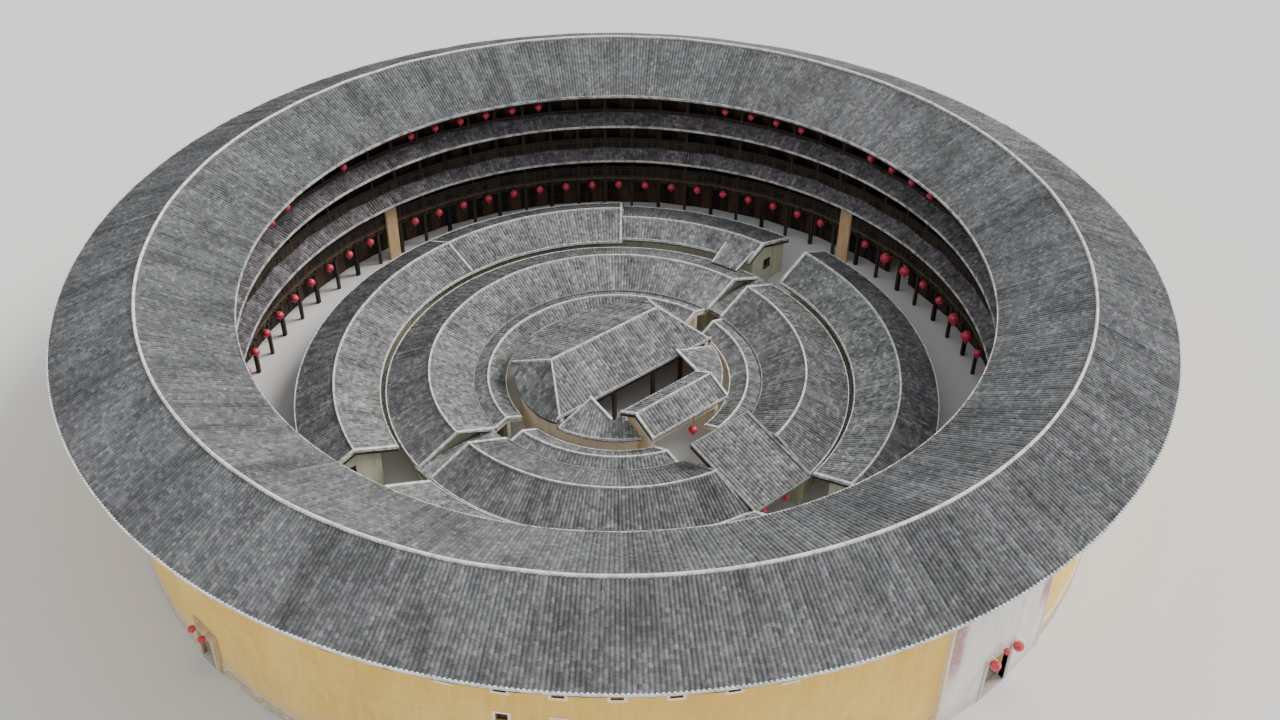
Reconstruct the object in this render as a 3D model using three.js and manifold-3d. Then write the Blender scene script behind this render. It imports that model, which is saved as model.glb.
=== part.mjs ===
// A round earth house of four storeys with three lower rings and a hall inside its court.
// Scale model 1:2. Z is up, the origin is on the ground at the centre, the main gate faces -Y.
// A bearing is an angle in degrees seen from above, from the main gate (0) over +X (90) to +Y (180).
import * as THREE from 'three';
import { mergeVertices } from 'three/addons/utils/BufferGeometryUtils.js';
import Module from 'manifold-3d';

const wasm = await Module();
wasm.setup();

// Model millimetres for one metre of the real house. All sizes below are real metres.
const M = 500;
const SEAT = 0.3 / M;
const RIGHT_ANGLE = 90;

// Number of flat sides of the great ring, and of its galleries and the inner rings. A bay of
// the great ring is one side wide, and the first corner lies half a bay from the main gate.
const GREAT_SIDES = 72;
const RING_SIDES = 36;
const BAY = 5;
const FIRST_CORNER = BAY / 2;

// Outer earth wall.
const WALL_INNER_R = 30.2;
const WALL_FOOT_R = 31.5;
const WALL_TOP_R = 31.4;
const STONE_FOOT_R = 31.65;
const STONE_TOP_R = 31.6;
const STONE_H = 0.9;
const WALL_SEGMENTS = { south: -47.5, east: 42.5, north: 132.5, west: 222.5 };

// Windows: one in each bay of the fourth storey, and four groups of three in the third.
const WINDOW_W = 0.62;
const WINDOW_H = 0.66;
const FOURTH_WINDOW_Z = 8.75;
const THIRD_WINDOW_Z = 6.5;
const THIRD_WINDOW_GROUPS = [45, 135, 225, 315];

// Gates in the outer wall.
const MAIN_GATE = { bearing: 0, width: 2.0, height: 3.0 };
const WEST_GATE = { bearing: 275, width: 1.5, height: 2.4 };
const EAST_GATE = { bearing: 85, width: 1.5, height: 2.4 };
const GATES = [MAIN_GATE, WEST_GATE, EAST_GATE];
const PLASTER_PROUD = 0.1;
const MAIN_PANEL = { width: 9.0, height: 8.2 };
const SIDE_PANEL = { width: 2.3, height: 2.85 };

// Main roof over the great ring.
const MAIN_RIDGE = { r: 28.9, z: 13.9 };
const MAIN_OUTER_EAVE = { r: 33.86, z: 12.03 };
const MAIN_INNER_EAVE = { r: 23.75, z: 11.4 };
const MAIN_ROOF_DEPTH = 0.28;
const RIDGE_HALF_WIDTH = 0.28;
const RIDGE_RISE = 0.22;

// Storeys of the great ring: top faces of the upper floors, and the timber pieces.
const FLOORS = { second: 3.2, third: 5.8, fourth: 8.4 };
const FLOOR_DEPTH = 0.2;
const GALLERY_R = 25.5;
const POST_DEPTH = 0.25;
const POST_W = 0.25;
const BEAM_H = 0.3;
const PARAPET_H = 0.9;
const FRONT_R = 26.9;
const FRONT_DEPTH = 0.15;
const PASSAGE_H = 2.5;

// Pent roofs round the court, under the galleries of the fourth and third storeys.
const UPPER_PENT = { edge: { r: 24.3, z: 8.5 }, top: 9.1 };
const LOWER_PENT = { edge: { r: 24.5, z: 5.3 }, top: 5.9 };
const PENT_DEPTH = 0.2;

// Tall boards that stand against the galleries under the lower pent roof: the middle of the side
// of the ring that each leans on, and how far it stands aside of that.
const BOARDS = { west: { bearing: 187.5, aside: -1.33 }, east: { bearing: 97.5, aside: -1.02 } };
const BOARD_W = 1.0;
const BOARD_H = 5.0;
const BOARD_DEPTH = 0.2;

// Saddle roofs of the inner rings: radii and heights of ridge and eaves.
const RING_ROOF_DEPTH = 0.2;
const SECOND_ROOF = { ridge: { r: 18.75, z: 4.1 }, outer: { r: 21.3, z: 3.03 }, inner: { r: 15.95, z: 2.92 } };
const SECOND_LOW_ROOF = { ridge: { r: 17.9, z: 3.85 }, outer: { r: 21.1, z: 2.85 }, inner: { r: 16.2, z: 3.05 } };
const THIRD_ROOF = { ridge: { r: 12.6, z: 3.8 }, outer: { r: 15.45, z: 2.6 }, inner: { r: 9.8, z: 2.6 } };
const SECOND_WALLS = { outer: 20.9, inner: 17.1 };
const THIRD_WALLS = { outer: 14.95, inner: 10.5 };
const EARTH_THICK = 0.3;
const BOARD_THICK = 0.15;

// Corridor round the hall: one wall with a narrow saddle roof on it.
const CORRIDOR_WALL = { inner: 8.6, outer: 8.85 };
const CORRIDOR_ROOF = { ridge: { r: 8.75, z: 2.8 }, outer: { r: THIRD_ROOF.inner.r - SEAT, z: 2.45 }, inner: { r: 7.65, z: 2.3 } };

// Passages through the rings: bearing, half width, and how far the middle lies aside.
const MAIN_WAY_SECOND = { bearing: 0, half: 2.5, aside: 0 };
const WEST_WAY_SECOND = { bearing: 267, half: 1.9, aside: 0 };
const EAST_WAY_SECOND = { bearing: 96.8, half: 1.55, aside: 0 };
const MAIN_WAY_THIRD = { bearing: 0, half: 2.5, aside: 0 };
const WEST_WAY_THIRD = { bearing: 270, half: 0.9, aside: 0 };
const EAST_WAY_THIRD = { bearing: 95, half: 0.9, aside: 0 };
const MAIN_WAY_CORRIDOR = { bearing: 0, half: 1.9, aside: -0.9 };
const WEST_WAY_CORRIDOR = { bearing: 270.5, half: 0.75, aside: 0 };
const EAST_WAY_CORRIDOR = { bearing: 95, half: 0.75, aside: 0 };

// Bearing where the second ring's roof steps down to its narrower north-east part.
const STEP_BEARING = 139;

// Small windows in the second ring's end walls, on the side of each way towards the rear.
const GABLE_WINDOW = { width: 0.5, height: 0.6 };
const EAST_GABLE_WINDOW = { way: EAST_WAY_SECOND, toward: 1, r: 18.7, z: 1.7 };
const WEST_GABLE_WINDOW = { way: WEST_WAY_SECOND, toward: -1, r: 19.0, z: 2.4 };

// Hall over the main way where it crosses the third ring: one slope falling towards the gate.
const GATE_HALL = { half: 2.5, high: { r: 9.9, z: 4.2 }, low: { r: 15.6, z: 2.75 }, wallFrom: 10.6, wallTo: 15.2 };
const GATE_HALL_WALL = { face: 2.4, thick: 0.2, lintelFrom: 2.35 };

// Low roofs over the side passages of the third ring.
const PASSAGE_ROOF = { from: 9.9, to: 15.7, z: 2.5, depth: 0.15, ledgeFrom: 10.7, ledgeTo: 14.7 };

// Small roof that joins the second and third rings beside the east passage.
const LINK_ROOF = { fromBearing: 103, toBearing: 111, inner: { r: 14.6 }, outer: { r: 17.0 }, depth: 0.12 };

// Hall in the middle: a round block with a light well, a rear hall and a front hall.
const HALL_WALL = { inner: 6.5, outer: 6.75 };
const HALL_EAVE_R = 7.05;
const WING_ROOF = { inner: { r: 3.9, z: 4.0 }, outer: { r: 7.05, z: 2.8 } };
const LIGHT_WELL = { west: -4.0, east: 3.5 };
const WING_END = 21;
const REAR_HALL = { frontY: -1.95, frontZ: 3.5, ridgeY: 1.3, ridgeZ: 5.2, backY: 7.1, backZ: 2.75, hipFrom: 4.6, hipFall: 0.9 };
const REAR_FRAME = { half: 4.3, fromY: -1.75, toY: -1.55, head: 2.9, posts: [-4.2, -1.7, 1.7, 4.2] };
const FRONT_HALL = { half: 3.3, rearY: -4.15, rearZ: 3.55, ridgeY: -5.6, ridgeZ: 4.3, frontY: -7.25, frontZ: 3.45 };
const FRONT_WALLS = { face: 2.9, thick: 0.25, fromY: -6.8, toY: -4.4, lintelFrom: 2.5 };
const HALL_ROOF_DEPTH = 0.18;

const group = new THREE.Group();

const FINISH = {
  earth: { color: 0xc9a468, roughness: 0.95 },
  stone: { color: 0x9a9284, roughness: 0.9 },
  plaster: { color: 0xe6e0d8, roughness: 0.9 },
  tile: { color: 0x5c5c5e, roughness: 0.85 },
  ridge: { color: 0xb9b7b0, roughness: 0.85 },
  timber: { color: 0x3a2a20, roughness: 0.8 },
  board: { color: 0xa98458, roughness: 0.8 },
  floor: { color: 0x4c3a2c, roughness: 0.8 },
  gable: { color: 0xc8c0a0, roughness: 0.9 },
};

function toSolid(geometry) {
  geometry.deleteAttribute('normal');
  geometry.deleteAttribute('uv');
  const merged = mergeVertices(geometry, 0.001);
  const mesh = new wasm.Mesh({
    numProp: 3,
    vertProperties: new Float32Array(merged.attributes.position.array),
    triVerts: new Uint32Array(merged.index.array),
  });
  return new wasm.Manifold(mesh);
}

function addPiece(name, solid, finish) {
  const mesh = solid.getMesh();
  const geometry = new THREE.BufferGeometry();
  geometry.setAttribute('position', new THREE.BufferAttribute(new Float32Array(mesh.vertProperties), 3));
  geometry.setIndex(new THREE.BufferAttribute(new Uint32Array(mesh.triVerts), 1));
  geometry.computeVertexNormals();
  const piece = new THREE.Mesh(geometry, new THREE.MeshStandardMaterial({ ...FINISH[finish], metalness: 0 }));
  piece.name = name;
  group.add(piece);
}

// A ring turned round the Z axis from a closed outline of [radius, height] points, listed
// anticlockwise with the radius to the right. A radius is that of the corners.
function turn(outline, sides) {
  const points = outline.map(([r, z]) => new THREE.Vector2(r * M, z * M));
  points.push(points[0].clone());
  const geometry = new THREE.LatheGeometry(points, sides, THREE.MathUtils.degToRad(FIRST_CORNER));
  geometry.rotateX(Math.PI / 2);
  return toSolid(geometry);
}

function heading(bearing) {
  return THREE.MathUtils.degToRad(bearing - RIGHT_ANGLE);
}

// A block whose own X axis runs outwards along the bearing.
function block(bearing, fromR, toR, side, width, fromZ, toZ) {
  const geometry = new THREE.BoxGeometry((toR - fromR) * M, width * M, (toZ - fromZ) * M);
  geometry.translate(((fromR + toR) / 2) * M, side * M, ((fromZ + toZ) / 2) * M);
  geometry.rotateZ(heading(bearing));
  return toSolid(geometry);
}

// A sector seen from above, used to keep the part of a ring between two bearings.
function sector(from, to) {
  const reach = 60 * M;
  const shape = new THREE.Shape();
  shape.moveTo(0, 0);
  const steps = Math.ceil((to - from) / 30);
  for (let i = 0; i <= steps; i += 1) {
    const angle = heading(from + ((to - from) * i) / steps);
    shape.lineTo(reach * Math.cos(angle), reach * Math.sin(angle));
  }
  const geometry = new THREE.ExtrudeGeometry(shape, { depth: 40 * M, bevelEnabled: false });
  geometry.translate(0, 0, -10 * M);
  return toSolid(geometry);
}

function slopeAt(high, low, r) {
  return high.z + ((low.z - high.z) * (r - high.r)) / (low.r - high.r);
}

// The height of the underside of a saddle roof at a radius.
function underside(roof, r, depth) {
  const low = r > roof.ridge.r ? roof.outer : roof.inner;
  return slopeAt(roof.ridge, low, r) - depth;
}

function gateCut(gate) {
  return block(gate.bearing, 28, 33, 0, gate.width, -1, gate.height);
}

const MAIN_ROOF = { ridge: MAIN_RIDGE, outer: MAIN_OUTER_EAVE, inner: MAIN_INNER_EAVE };

function buildStoneFoot() {
  const ring = turn([[WALL_INNER_R, 0], [STONE_FOOT_R, 0], [STONE_TOP_R, STONE_H], [WALL_INNER_R, STONE_H]], GREAT_SIDES);
  const open = GATES.reduce((left, gate) => left.subtract(gateCut(gate)), ring);
  addPiece('stone_foot_east', open.intersect(sector(MAIN_GATE.bearing, EAST_GATE.bearing)), 'stone');
  addPiece('stone_foot_north', open.intersect(sector(EAST_GATE.bearing, WEST_GATE.bearing)), 'stone');
  addPiece('stone_foot_west', open.intersect(sector(WEST_GATE.bearing, 360)), 'stone');
}

function windowCut(bearing, z) {
  return block(bearing, 29, 33, 0, WINDOW_W, z - WINDOW_H / 2, z + WINDOW_H / 2);
}

// Whether a bay is the middle one of a group of three, or next to it.
function isBayOf(middle, bearing) {
  const turned = (bearing + 360) % 360;
  return Math.abs(turned - middle) <= BAY;
}

function buildEarthWall() {
  const foot = STONE_H + SEAT;
  const outerTop = underside(MAIN_ROOF, WALL_TOP_R, MAIN_ROOF_DEPTH) - SEAT;
  const innerTop = underside(MAIN_ROOF, WALL_INNER_R, MAIN_ROOF_DEPTH) - SEAT;
  const ring = turn([[WALL_INNER_R, foot], [WALL_FOOT_R, foot], [WALL_TOP_R, outerTop], [WALL_INNER_R, innerTop]], GREAT_SIDES);
  const jointGap = THREE.MathUtils.radToDeg(SEAT / WALL_INNER_R);
  for (const [side, from] of Object.entries(WALL_SEGMENTS)) {
    const to = from + RIGHT_ANGLE;
    let piece = ring.intersect(sector(from, to - jointGap));
    for (let bearing = from + BAY / 2; bearing < to; bearing += BAY) {
      piece = piece.subtract(windowCut(bearing, FOURTH_WINDOW_Z));
      if (THIRD_WINDOW_GROUPS.some((middle) => isBayOf(middle, bearing))) {
        piece = piece.subtract(windowCut(bearing, THIRD_WINDOW_Z));
      }
    }
    for (const gate of GATES) {
      piece = piece.subtract(gateCut(gate));
    }
    addPiece(`earth_wall_${side}`, piece, 'earth');
  }
}

function buildMainRoof() {
  const { r, z } = MAIN_RIDGE;
  const d = MAIN_ROOF_DEPTH;
  const out = MAIN_OUTER_EAVE;
  const inn = MAIN_INNER_EAVE;
  const slopes = [[inn.r, inn.z - d], [r, z - d], [out.r, out.z - d], [out.r, out.z], [r, z], [inn.r, inn.z]];
  addPiece('main_roof', turn(slopes, GREAT_SIDES), 'tile');
  const half = RIDGE_HALF_WIDTH;
  const innerSeat = slopeAt(MAIN_RIDGE, inn, r - half) + SEAT;
  const outerSeat = slopeAt(MAIN_RIDGE, out, r + half) + SEAT;
  const cap = [[r - half, innerSeat], [r, z + SEAT], [r + half, outerSeat], [r, z + RIDGE_RISE]];
  addPiece('main_roof_ridge', turn(cap, GREAT_SIDES), 'ridge');
}

function buildFloors() {
  for (const [storey, top] of Object.entries(FLOORS)) {
    const under = top - FLOOR_DEPTH;
    const outerR = WALL_INNER_R * Math.cos(Math.PI / GREAT_SIDES) - SEAT;
    addPiece(`floor_${storey}`, turn([[GALLERY_R, under], [outerR, under], [outerR, top], [GALLERY_R, top]], RING_SIDES), 'floor');
  }
}

function storeyRange(storey) {
  const order = ['ground', ...Object.keys(FLOORS)];
  const index = order.indexOf(storey);
  const from = storey === 'ground' ? 0 : FLOORS[storey] + SEAT;
  const above = order[index + 1];
  return { from, to: above ? FLOORS[above] - FLOOR_DEPTH - SEAT : null };
}

// The top of a gallery ring under the main roof, which is lowest at the middle of a side.
function topUnderRoof(r) {
  return underside(MAIN_ROOF, r * Math.cos(Math.PI / RING_SIDES), MAIN_ROOF_DEPTH) - SEAT;
}

function buildRoomFront(storey) {
  const { from, to } = storeyRange(storey);
  const outerR = FRONT_R + FRONT_DEPTH;
  const innerTop = to ?? topUnderRoof(FRONT_R);
  const outerTop = to ?? topUnderRoof(outerR);
  const outline = [[FRONT_R, from], [outerR, from], [outerR, outerTop], [FRONT_R, innerTop]];
  let front = turn(outline, RING_SIDES);
  if (storey === 'ground') {
    for (const gate of GATES) {
      front = front.subtract(block(gate.bearing, 26, 28, 0, gate.width + 0.6, -1, PASSAGE_H));
    }
  }
  addPiece(`room_front_${storey}`, front, 'timber');
}

function buildGalleryFrame(storey) {
  const { from, to } = storeyRange(storey);
  const outerR = GALLERY_R + POST_DEPTH;
  const innerTop = to ?? topUnderRoof(GALLERY_R);
  const outerTop = to ?? topUnderRoof(outerR);
  const outline = [[GALLERY_R, from], [outerR, from], [outerR, outerTop], [GALLERY_R, innerTop]];
  let frame = turn(outline, RING_SIDES);
  const sill = storey === 'ground' ? -1 : from + PARAPET_H;
  const head = Math.min(innerTop, outerTop) - BEAM_H;
  const step = 360 / RING_SIDES;
  const span = 2 * GALLERY_R * Math.sin(Math.PI / RING_SIDES) - POST_W;
  for (let bearing = FIRST_CORNER + step / 2; bearing < 360; bearing += step) {
    frame = frame.subtract(block(bearing, 24, 27, 0, span, sill, head));
  }
  addPiece(`gallery_frame_${storey}`, frame, 'timber');
}

function buildPentRoof(name, pent) {
  const topR = GALLERY_R - SEAT;
  const { r, z } = pent.edge;
  addPiece(name, turn([[r, z - PENT_DEPTH], [topR, pent.top - PENT_DEPTH], [topR, pent.top], [r, z]], RING_SIDES), 'tile');
}

function buildBoards() {
  const face = GALLERY_R * Math.cos(Math.PI / RING_SIDES);
  for (const [side, { bearing, aside }] of Object.entries(BOARDS)) {
    const outer = face - SEAT;
    addPiece(`tall_board_${side}`, block(bearing, outer - BOARD_DEPTH, outer, aside, BOARD_W, 0, BOARD_H), 'board');
  }
}

// The outer face of the earth wall, which leans in towards its top.
function wallFaceAt(z) {
  const top = underside(MAIN_ROOF, WALL_TOP_R, MAIN_ROOF_DEPTH) - SEAT;
  return WALL_FOOT_R + ((WALL_TOP_R - WALL_FOOT_R) * (z - STONE_H)) / (top - STONE_H);
}

// Plaster round a gate, lying on the stone foot and on the earth wall.
function buildGatePanel(name, gate, panel) {
  const top = panel.height;
  const sheet = turn([
    [STONE_FOOT_R + SEAT, 0],
    [STONE_FOOT_R + PLASTER_PROUD, 0],
    [wallFaceAt(top) + PLASTER_PROUD, top],
    [wallFaceAt(top) + SEAT, top],
    [WALL_FOOT_R + SEAT, STONE_H + SEAT],
    [STONE_TOP_R + SEAT, STONE_H + SEAT],
  ], GREAT_SIDES);
  const area = block(gate.bearing, 28, 33, 0, panel.width, -1, top + 1);
  addPiece(name, sheet.intersect(area).subtract(gateCut(gate)), 'plaster');
}

function saddle(roof) {
  const d = RING_ROOF_DEPTH;
  const { ridge, outer, inner } = roof;
  return turn([
    [inner.r, inner.z - d], [ridge.r, ridge.z - d], [outer.r, outer.z - d],
    [outer.r, outer.z], [ridge.r, ridge.z], [inner.r, inner.z],
  ], RING_SIDES);
}

function wayCut(way, extra = 0) {
  return block(way.bearing, 5, 24, way.aside, 2 * (way.half + extra), -1, 8);
}

// Walls of the rooms under one roof arc. The room may run past an end that another arc closes.
function roomWalls(walls, roof, [from, to], ways, [roomFrom, roomTo] = [from - 1, to + 1]) {
  const d = RING_ROOF_DEPTH + SEAT;
  const top = (r) => underside(roof, r, d);
  const body = turn([
    [walls.inner, 0], [walls.outer, 0], [walls.outer, top(walls.outer)],
    [roof.ridge.r, top(roof.ridge.r)], [walls.inner, top(walls.inner)],
  ], RING_SIDES);
  const room = turn([
    [walls.inner + BOARD_THICK, -1], [walls.outer - EARTH_THICK, -1],
    [walls.outer - EARTH_THICK, 6], [walls.inner + BOARD_THICK, 6],
  ], RING_SIDES);
  const cut = (solid, extra) => ways.reduce((left, way) => left.subtract(wayCut(way, extra)), solid);
  const outside = cut(body.intersect(sector(from, to)), EARTH_THICK);
  return outside.subtract(cut(room.intersect(sector(roomFrom, roomTo)), 2 * EARTH_THICK));
}

function roofArc(roof, [from, to], ways) {
  return ways.reduce((left, way) => left.subtract(wayCut(way)), saddle(roof).intersect(sector(from, to)));
}

function gableWindowCut({ way, toward, r, z }) {
  const { width, height } = GABLE_WINDOW;
  const aside = way.aside + toward * (way.half + 1.5 * EARTH_THICK);
  return block(way.bearing, r - width / 2, r + width / 2, aside, EARTH_THICK + 0.2, z - height / 2, z + height / 2);
}

function buildSecondRing() {
  const ways = [MAIN_WAY_SECOND, WEST_WAY_SECOND, EAST_WAY_SECOND];
  const [east, west] = [EAST_WAY_SECOND.bearing, WEST_WAY_SECOND.bearing];
  const afterStep = STEP_BEARING + THREE.MathUtils.radToDeg(SEAT / SECOND_WALLS.inner);
  const afterWall = STEP_BEARING + THREE.MathUtils.radToDeg(EARTH_THICK / SECOND_WALLS.inner);
  const arcs = {
    east: { roof: SECOND_ROOF, span: [0, east] },
    step: { roof: SECOND_LOW_ROOF, span: [east, STEP_BEARING], window: EAST_GABLE_WINDOW },
    north: { roof: SECOND_ROOF, span: [afterStep, west], room: [afterWall, west + 1], window: WEST_GABLE_WINDOW },
    west: { roof: SECOND_ROOF, span: [west, 360] },
  };
  for (const [side, { roof, span, room, window }] of Object.entries(arcs)) {
    const walls = roomWalls(SECOND_WALLS, roof, span, ways, room);
    addPiece(`second_ring_walls_${side}`, window ? walls.subtract(gableWindowCut(window)) : walls, 'gable');
    addPiece(`second_ring_roof_${side}`, roofArc(roof, span, ways), 'tile');
  }
}

function buildThirdRing() {
  const ways = [MAIN_WAY_THIRD, WEST_WAY_THIRD, EAST_WAY_THIRD];
  const [east, west] = [EAST_WAY_THIRD.bearing, WEST_WAY_THIRD.bearing];
  const arcs = { east: [0, east], north: [east, west], west: [west, 360] };
  for (const [side, span] of Object.entries(arcs)) {
    addPiece(`third_ring_walls_${side}`, roomWalls(THIRD_WALLS, THIRD_ROOF, span, ways), 'gable');
    addPiece(`third_ring_roof_${side}`, roofArc(THIRD_ROOF, span, ways), 'tile');
  }
}

function buildCorridor() {
  const ways = [MAIN_WAY_CORRIDOR, WEST_WAY_CORRIDOR, EAST_WAY_CORRIDOR];
  const [east, west] = [EAST_WAY_CORRIDOR.bearing, WEST_WAY_CORRIDOR.bearing];
  const d = RING_ROOF_DEPTH;
  const { inner, outer } = CORRIDOR_WALL;
  const wall = turn([[inner, 0], [outer, 0], [outer, CORRIDOR_ROOF.ridge.z - d], [inner, CORRIDOR_ROOF.ridge.z - d]], RING_SIDES);
  const arcs = { east: [0, east], north: [east, west], west: [west, 360] };
  for (const [side, [from, to]] of Object.entries(arcs)) {
    const piece = ways.reduce((left, way) => left.subtract(wayCut(way)), wall.add(saddle(CORRIDOR_ROOF)).intersect(sector(from, to)));
    addPiece(`corridor_${side}`, piece, 'tile');
  }
}

// A solid cut across the main axis: an outline of [y, z] points drawn out between two x values.
function acrossAxis(outline, fromX, toX) {
  const shape = new THREE.Shape(outline.map(([y, z]) => new THREE.Vector2(y * M, z * M)));
  const geometry = new THREE.ExtrudeGeometry(shape, { depth: (toX - fromX) * M, bevelEnabled: false });
  geometry.rotateX(Math.PI / 2);
  geometry.rotateZ(Math.PI / 2);
  geometry.translate(fromX * M, 0, 0);
  return toSolid(geometry);
}

function buildGateHall() {
  const { half, high, low, wallFrom, wallTo } = GATE_HALL;
  const d = HALL_ROOF_DEPTH;
  const edge = half - SEAT;
  const slab = [[-low.r, low.z - d], [-high.r, high.z - d], [-high.r, high.z], [-low.r, low.z]];
  addPiece('gate_hall_roof', acrossAxis(slab, -edge, edge), 'tile');
  const top = (r) => slopeAt(high, low, r) - d - SEAT;
  const side = [[-wallTo, 0], [-wallFrom, 0], [-wallFrom, top(wallFrom)], [-wallTo, top(wallTo)]];
  const { face, thick } = GATE_HALL_WALL;
  const room = box(-face + thick, face - thick, -wallTo - 1, -wallFrom + 1, -1, GATE_HALL_WALL.lintelFrom);
  const above = box(-face + thick, face - thick, -wallTo + thick, -wallFrom + 1, -1, 8);
  addPiece('gate_hall_walls', acrossAxis(side, -face, face).subtract(room).subtract(above), 'gable');
}

function buildPassageRoof(name, way) {
  const { from, to, z, depth, ledgeFrom, ledgeTo } = PASSAGE_ROOF;
  const long = block(way.bearing, from, to, way.aside, 2 * (way.half - SEAT), z - depth, z);
  const wide = block(way.bearing, ledgeFrom, ledgeTo, way.aside, 2 * (way.half + EARTH_THICK - SEAT), z - depth, z);
  addPiece(name, long.add(wide), 'tile');
}

function buildLinkRoof() {
  const { fromBearing, toBearing, inner, outer, depth } = LINK_ROOF;
  const innerZ = slopeAt(THIRD_ROOF.ridge, THIRD_ROOF.outer, inner.r) + SEAT;
  const outerZ = slopeAt(SECOND_LOW_ROOF.ridge, SECOND_LOW_ROOF.inner, outer.r) + SEAT;
  const ring = turn([[inner.r, innerZ], [outer.r, outerZ], [outer.r, outerZ + depth], [inner.r, innerZ + depth]], RING_SIDES);
  addPiece('link_roof', ring.intersect(sector(fromBearing, toBearing)), 'tile');
}

function disc(r, z) {
  return turnSolid([[0, -z], [r, -z], [r, z], [0, z]], RING_SIDES);
}

// A round solid from an open outline that starts and ends on the axis.
function turnSolid(outline, sides) {
  const points = outline.map(([r, z]) => new THREE.Vector2(r * M, z * M));
  const geometry = new THREE.LatheGeometry(points, sides, THREE.MathUtils.degToRad(FIRST_CORNER));
  geometry.rotateX(Math.PI / 2);
  return toSolid(geometry);
}

// Everything under the rear hall's hipped roof, lowered by a depth and spread by a spare width.
function underRearRoof(lower, spare) {
  const { frontY, frontZ, ridgeY, ridgeZ, backY, backZ, hipFrom, hipFall } = REAR_HALL;
  const ridge = { r: ridgeY, z: ridgeZ };
  const from = frontY - spare;
  const to = backY + spare;
  const floor = -spare;
  const slopes = acrossAxis([
    [from, floor], [to, floor], [to, slopeAt(ridge, { r: backY, z: backZ }, to) - lower],
    [ridgeY, ridgeZ - lower], [from, slopeAt(ridge, { r: frontY, z: frontZ }, from) - lower],
  ], -10, 10);
  const endX = 9;
  const endZ = ridgeZ - hipFall * (endX - hipFrom) - lower;
  const hips = alongAxis([
    [-endX, floor], [endX, floor], [endX, endZ], [hipFrom, ridgeZ - lower], [-hipFrom, ridgeZ - lower], [-endX, endZ],
  ], -10, 10);
  return slopes.intersect(hips).intersect(disc(HALL_EAVE_R + spare, 8));
}

// A solid drawn out along the main axis from an outline of [x, z] points.
function alongAxis(outline, fromY, toY) {
  const shape = new THREE.Shape(outline.map(([x, z]) => new THREE.Vector2(x * M, z * M)));
  const geometry = new THREE.ExtrudeGeometry(shape, { depth: (toY - fromY) * M, bevelEnabled: false });
  geometry.rotateX(Math.PI / 2);
  geometry.translate(0, toY * M, 0);
  return toSolid(geometry);
}

function box(fromX, toX, fromY, toY, fromZ, toZ) {
  const geometry = new THREE.BoxGeometry((toX - fromX) * M, (toY - fromY) * M, (toZ - fromZ) * M);
  geometry.translate(((fromX + toX) / 2) * M, ((fromY + toY) / 2) * M, ((fromZ + toZ) / 2) * M);
  return toSolid(geometry);
}

function buildRearHall() {
  const d = HALL_ROOF_DEPTH;
  addPiece('rear_hall_roof', underRearRoof(0, 0).subtract(underRearRoof(d, 1)), 'tile');
  const under = underRearRoof(d + SEAT, 0);
  const ring = turn([[HALL_WALL.inner, 0], [HALL_WALL.outer, 0], [HALL_WALL.outer, 6], [HALL_WALL.inner, 6]], RING_SIDES);
  addPiece('hall_wall', ring.intersect(under).add(wingWalls()), 'gable');
  const { half, fromY, toY, head, posts } = REAR_FRAME;
  let frame = box(-half, half, fromY, toY, head, 6);
  for (const x of posts) {
    frame = frame.add(box(x - POST_W / 2, x + POST_W / 2, fromY, toY, 0, head + 0.1));
  }
  addPiece('rear_hall_frame', frame.intersect(under), 'timber');
}

function frontHallCut(extra) {
  const { half, rearY, frontY } = FRONT_HALL;
  return box(-half - extra, half + extra, frontY - 1, rearY + extra, -1, 8);
}

function wingSpans() {
  return { west: [RIGHT_ANGLE * 3, 360 - WING_END], east: [WING_END, RIGHT_ANGLE] };
}

// The round wall under the two wings, on both sides of the front hall.
function wingWalls() {
  const { inner, outer } = HALL_WALL;
  const top = (r) => slopeAt(WING_ROOF.inner, WING_ROOF.outer, r) - HALL_ROOF_DEPTH - SEAT;
  const ring = turn([[inner, 0], [outer, 0], [outer, top(outer)], [inner, top(inner)]], RING_SIDES);
  const { west, east } = wingSpans();
  const behind = box(-9, 9, REAR_HALL.frontY + 0.1, 9, -1, 9);
  return ring.intersect(sector(...west).add(sector(...east))).subtract(behind).subtract(frontHallCut(SEAT));
}

function buildWingRoofs() {
  const d = HALL_ROOF_DEPTH;
  const { inner, outer } = WING_ROOF;
  const ring = turn([[inner.r, inner.z - d], [outer.r, outer.z - d], [outer.r, outer.z], [inner.r, inner.z]], RING_SIDES);
  const behind = box(-9, 9, REAR_HALL.frontY - SEAT, 9, -1, 9);
  const well = box(LIGHT_WELL.west, LIGHT_WELL.east, FRONT_HALL.rearY - 0.1, 0, -1, 9);
  const cuts = behind.add(well).add(frontHallCut(SEAT));
  for (const [side, span] of Object.entries(wingSpans())) {
    addPiece(`wing_roof_${side}`, ring.intersect(sector(...span)).subtract(cuts), 'tile');
  }
}

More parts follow.
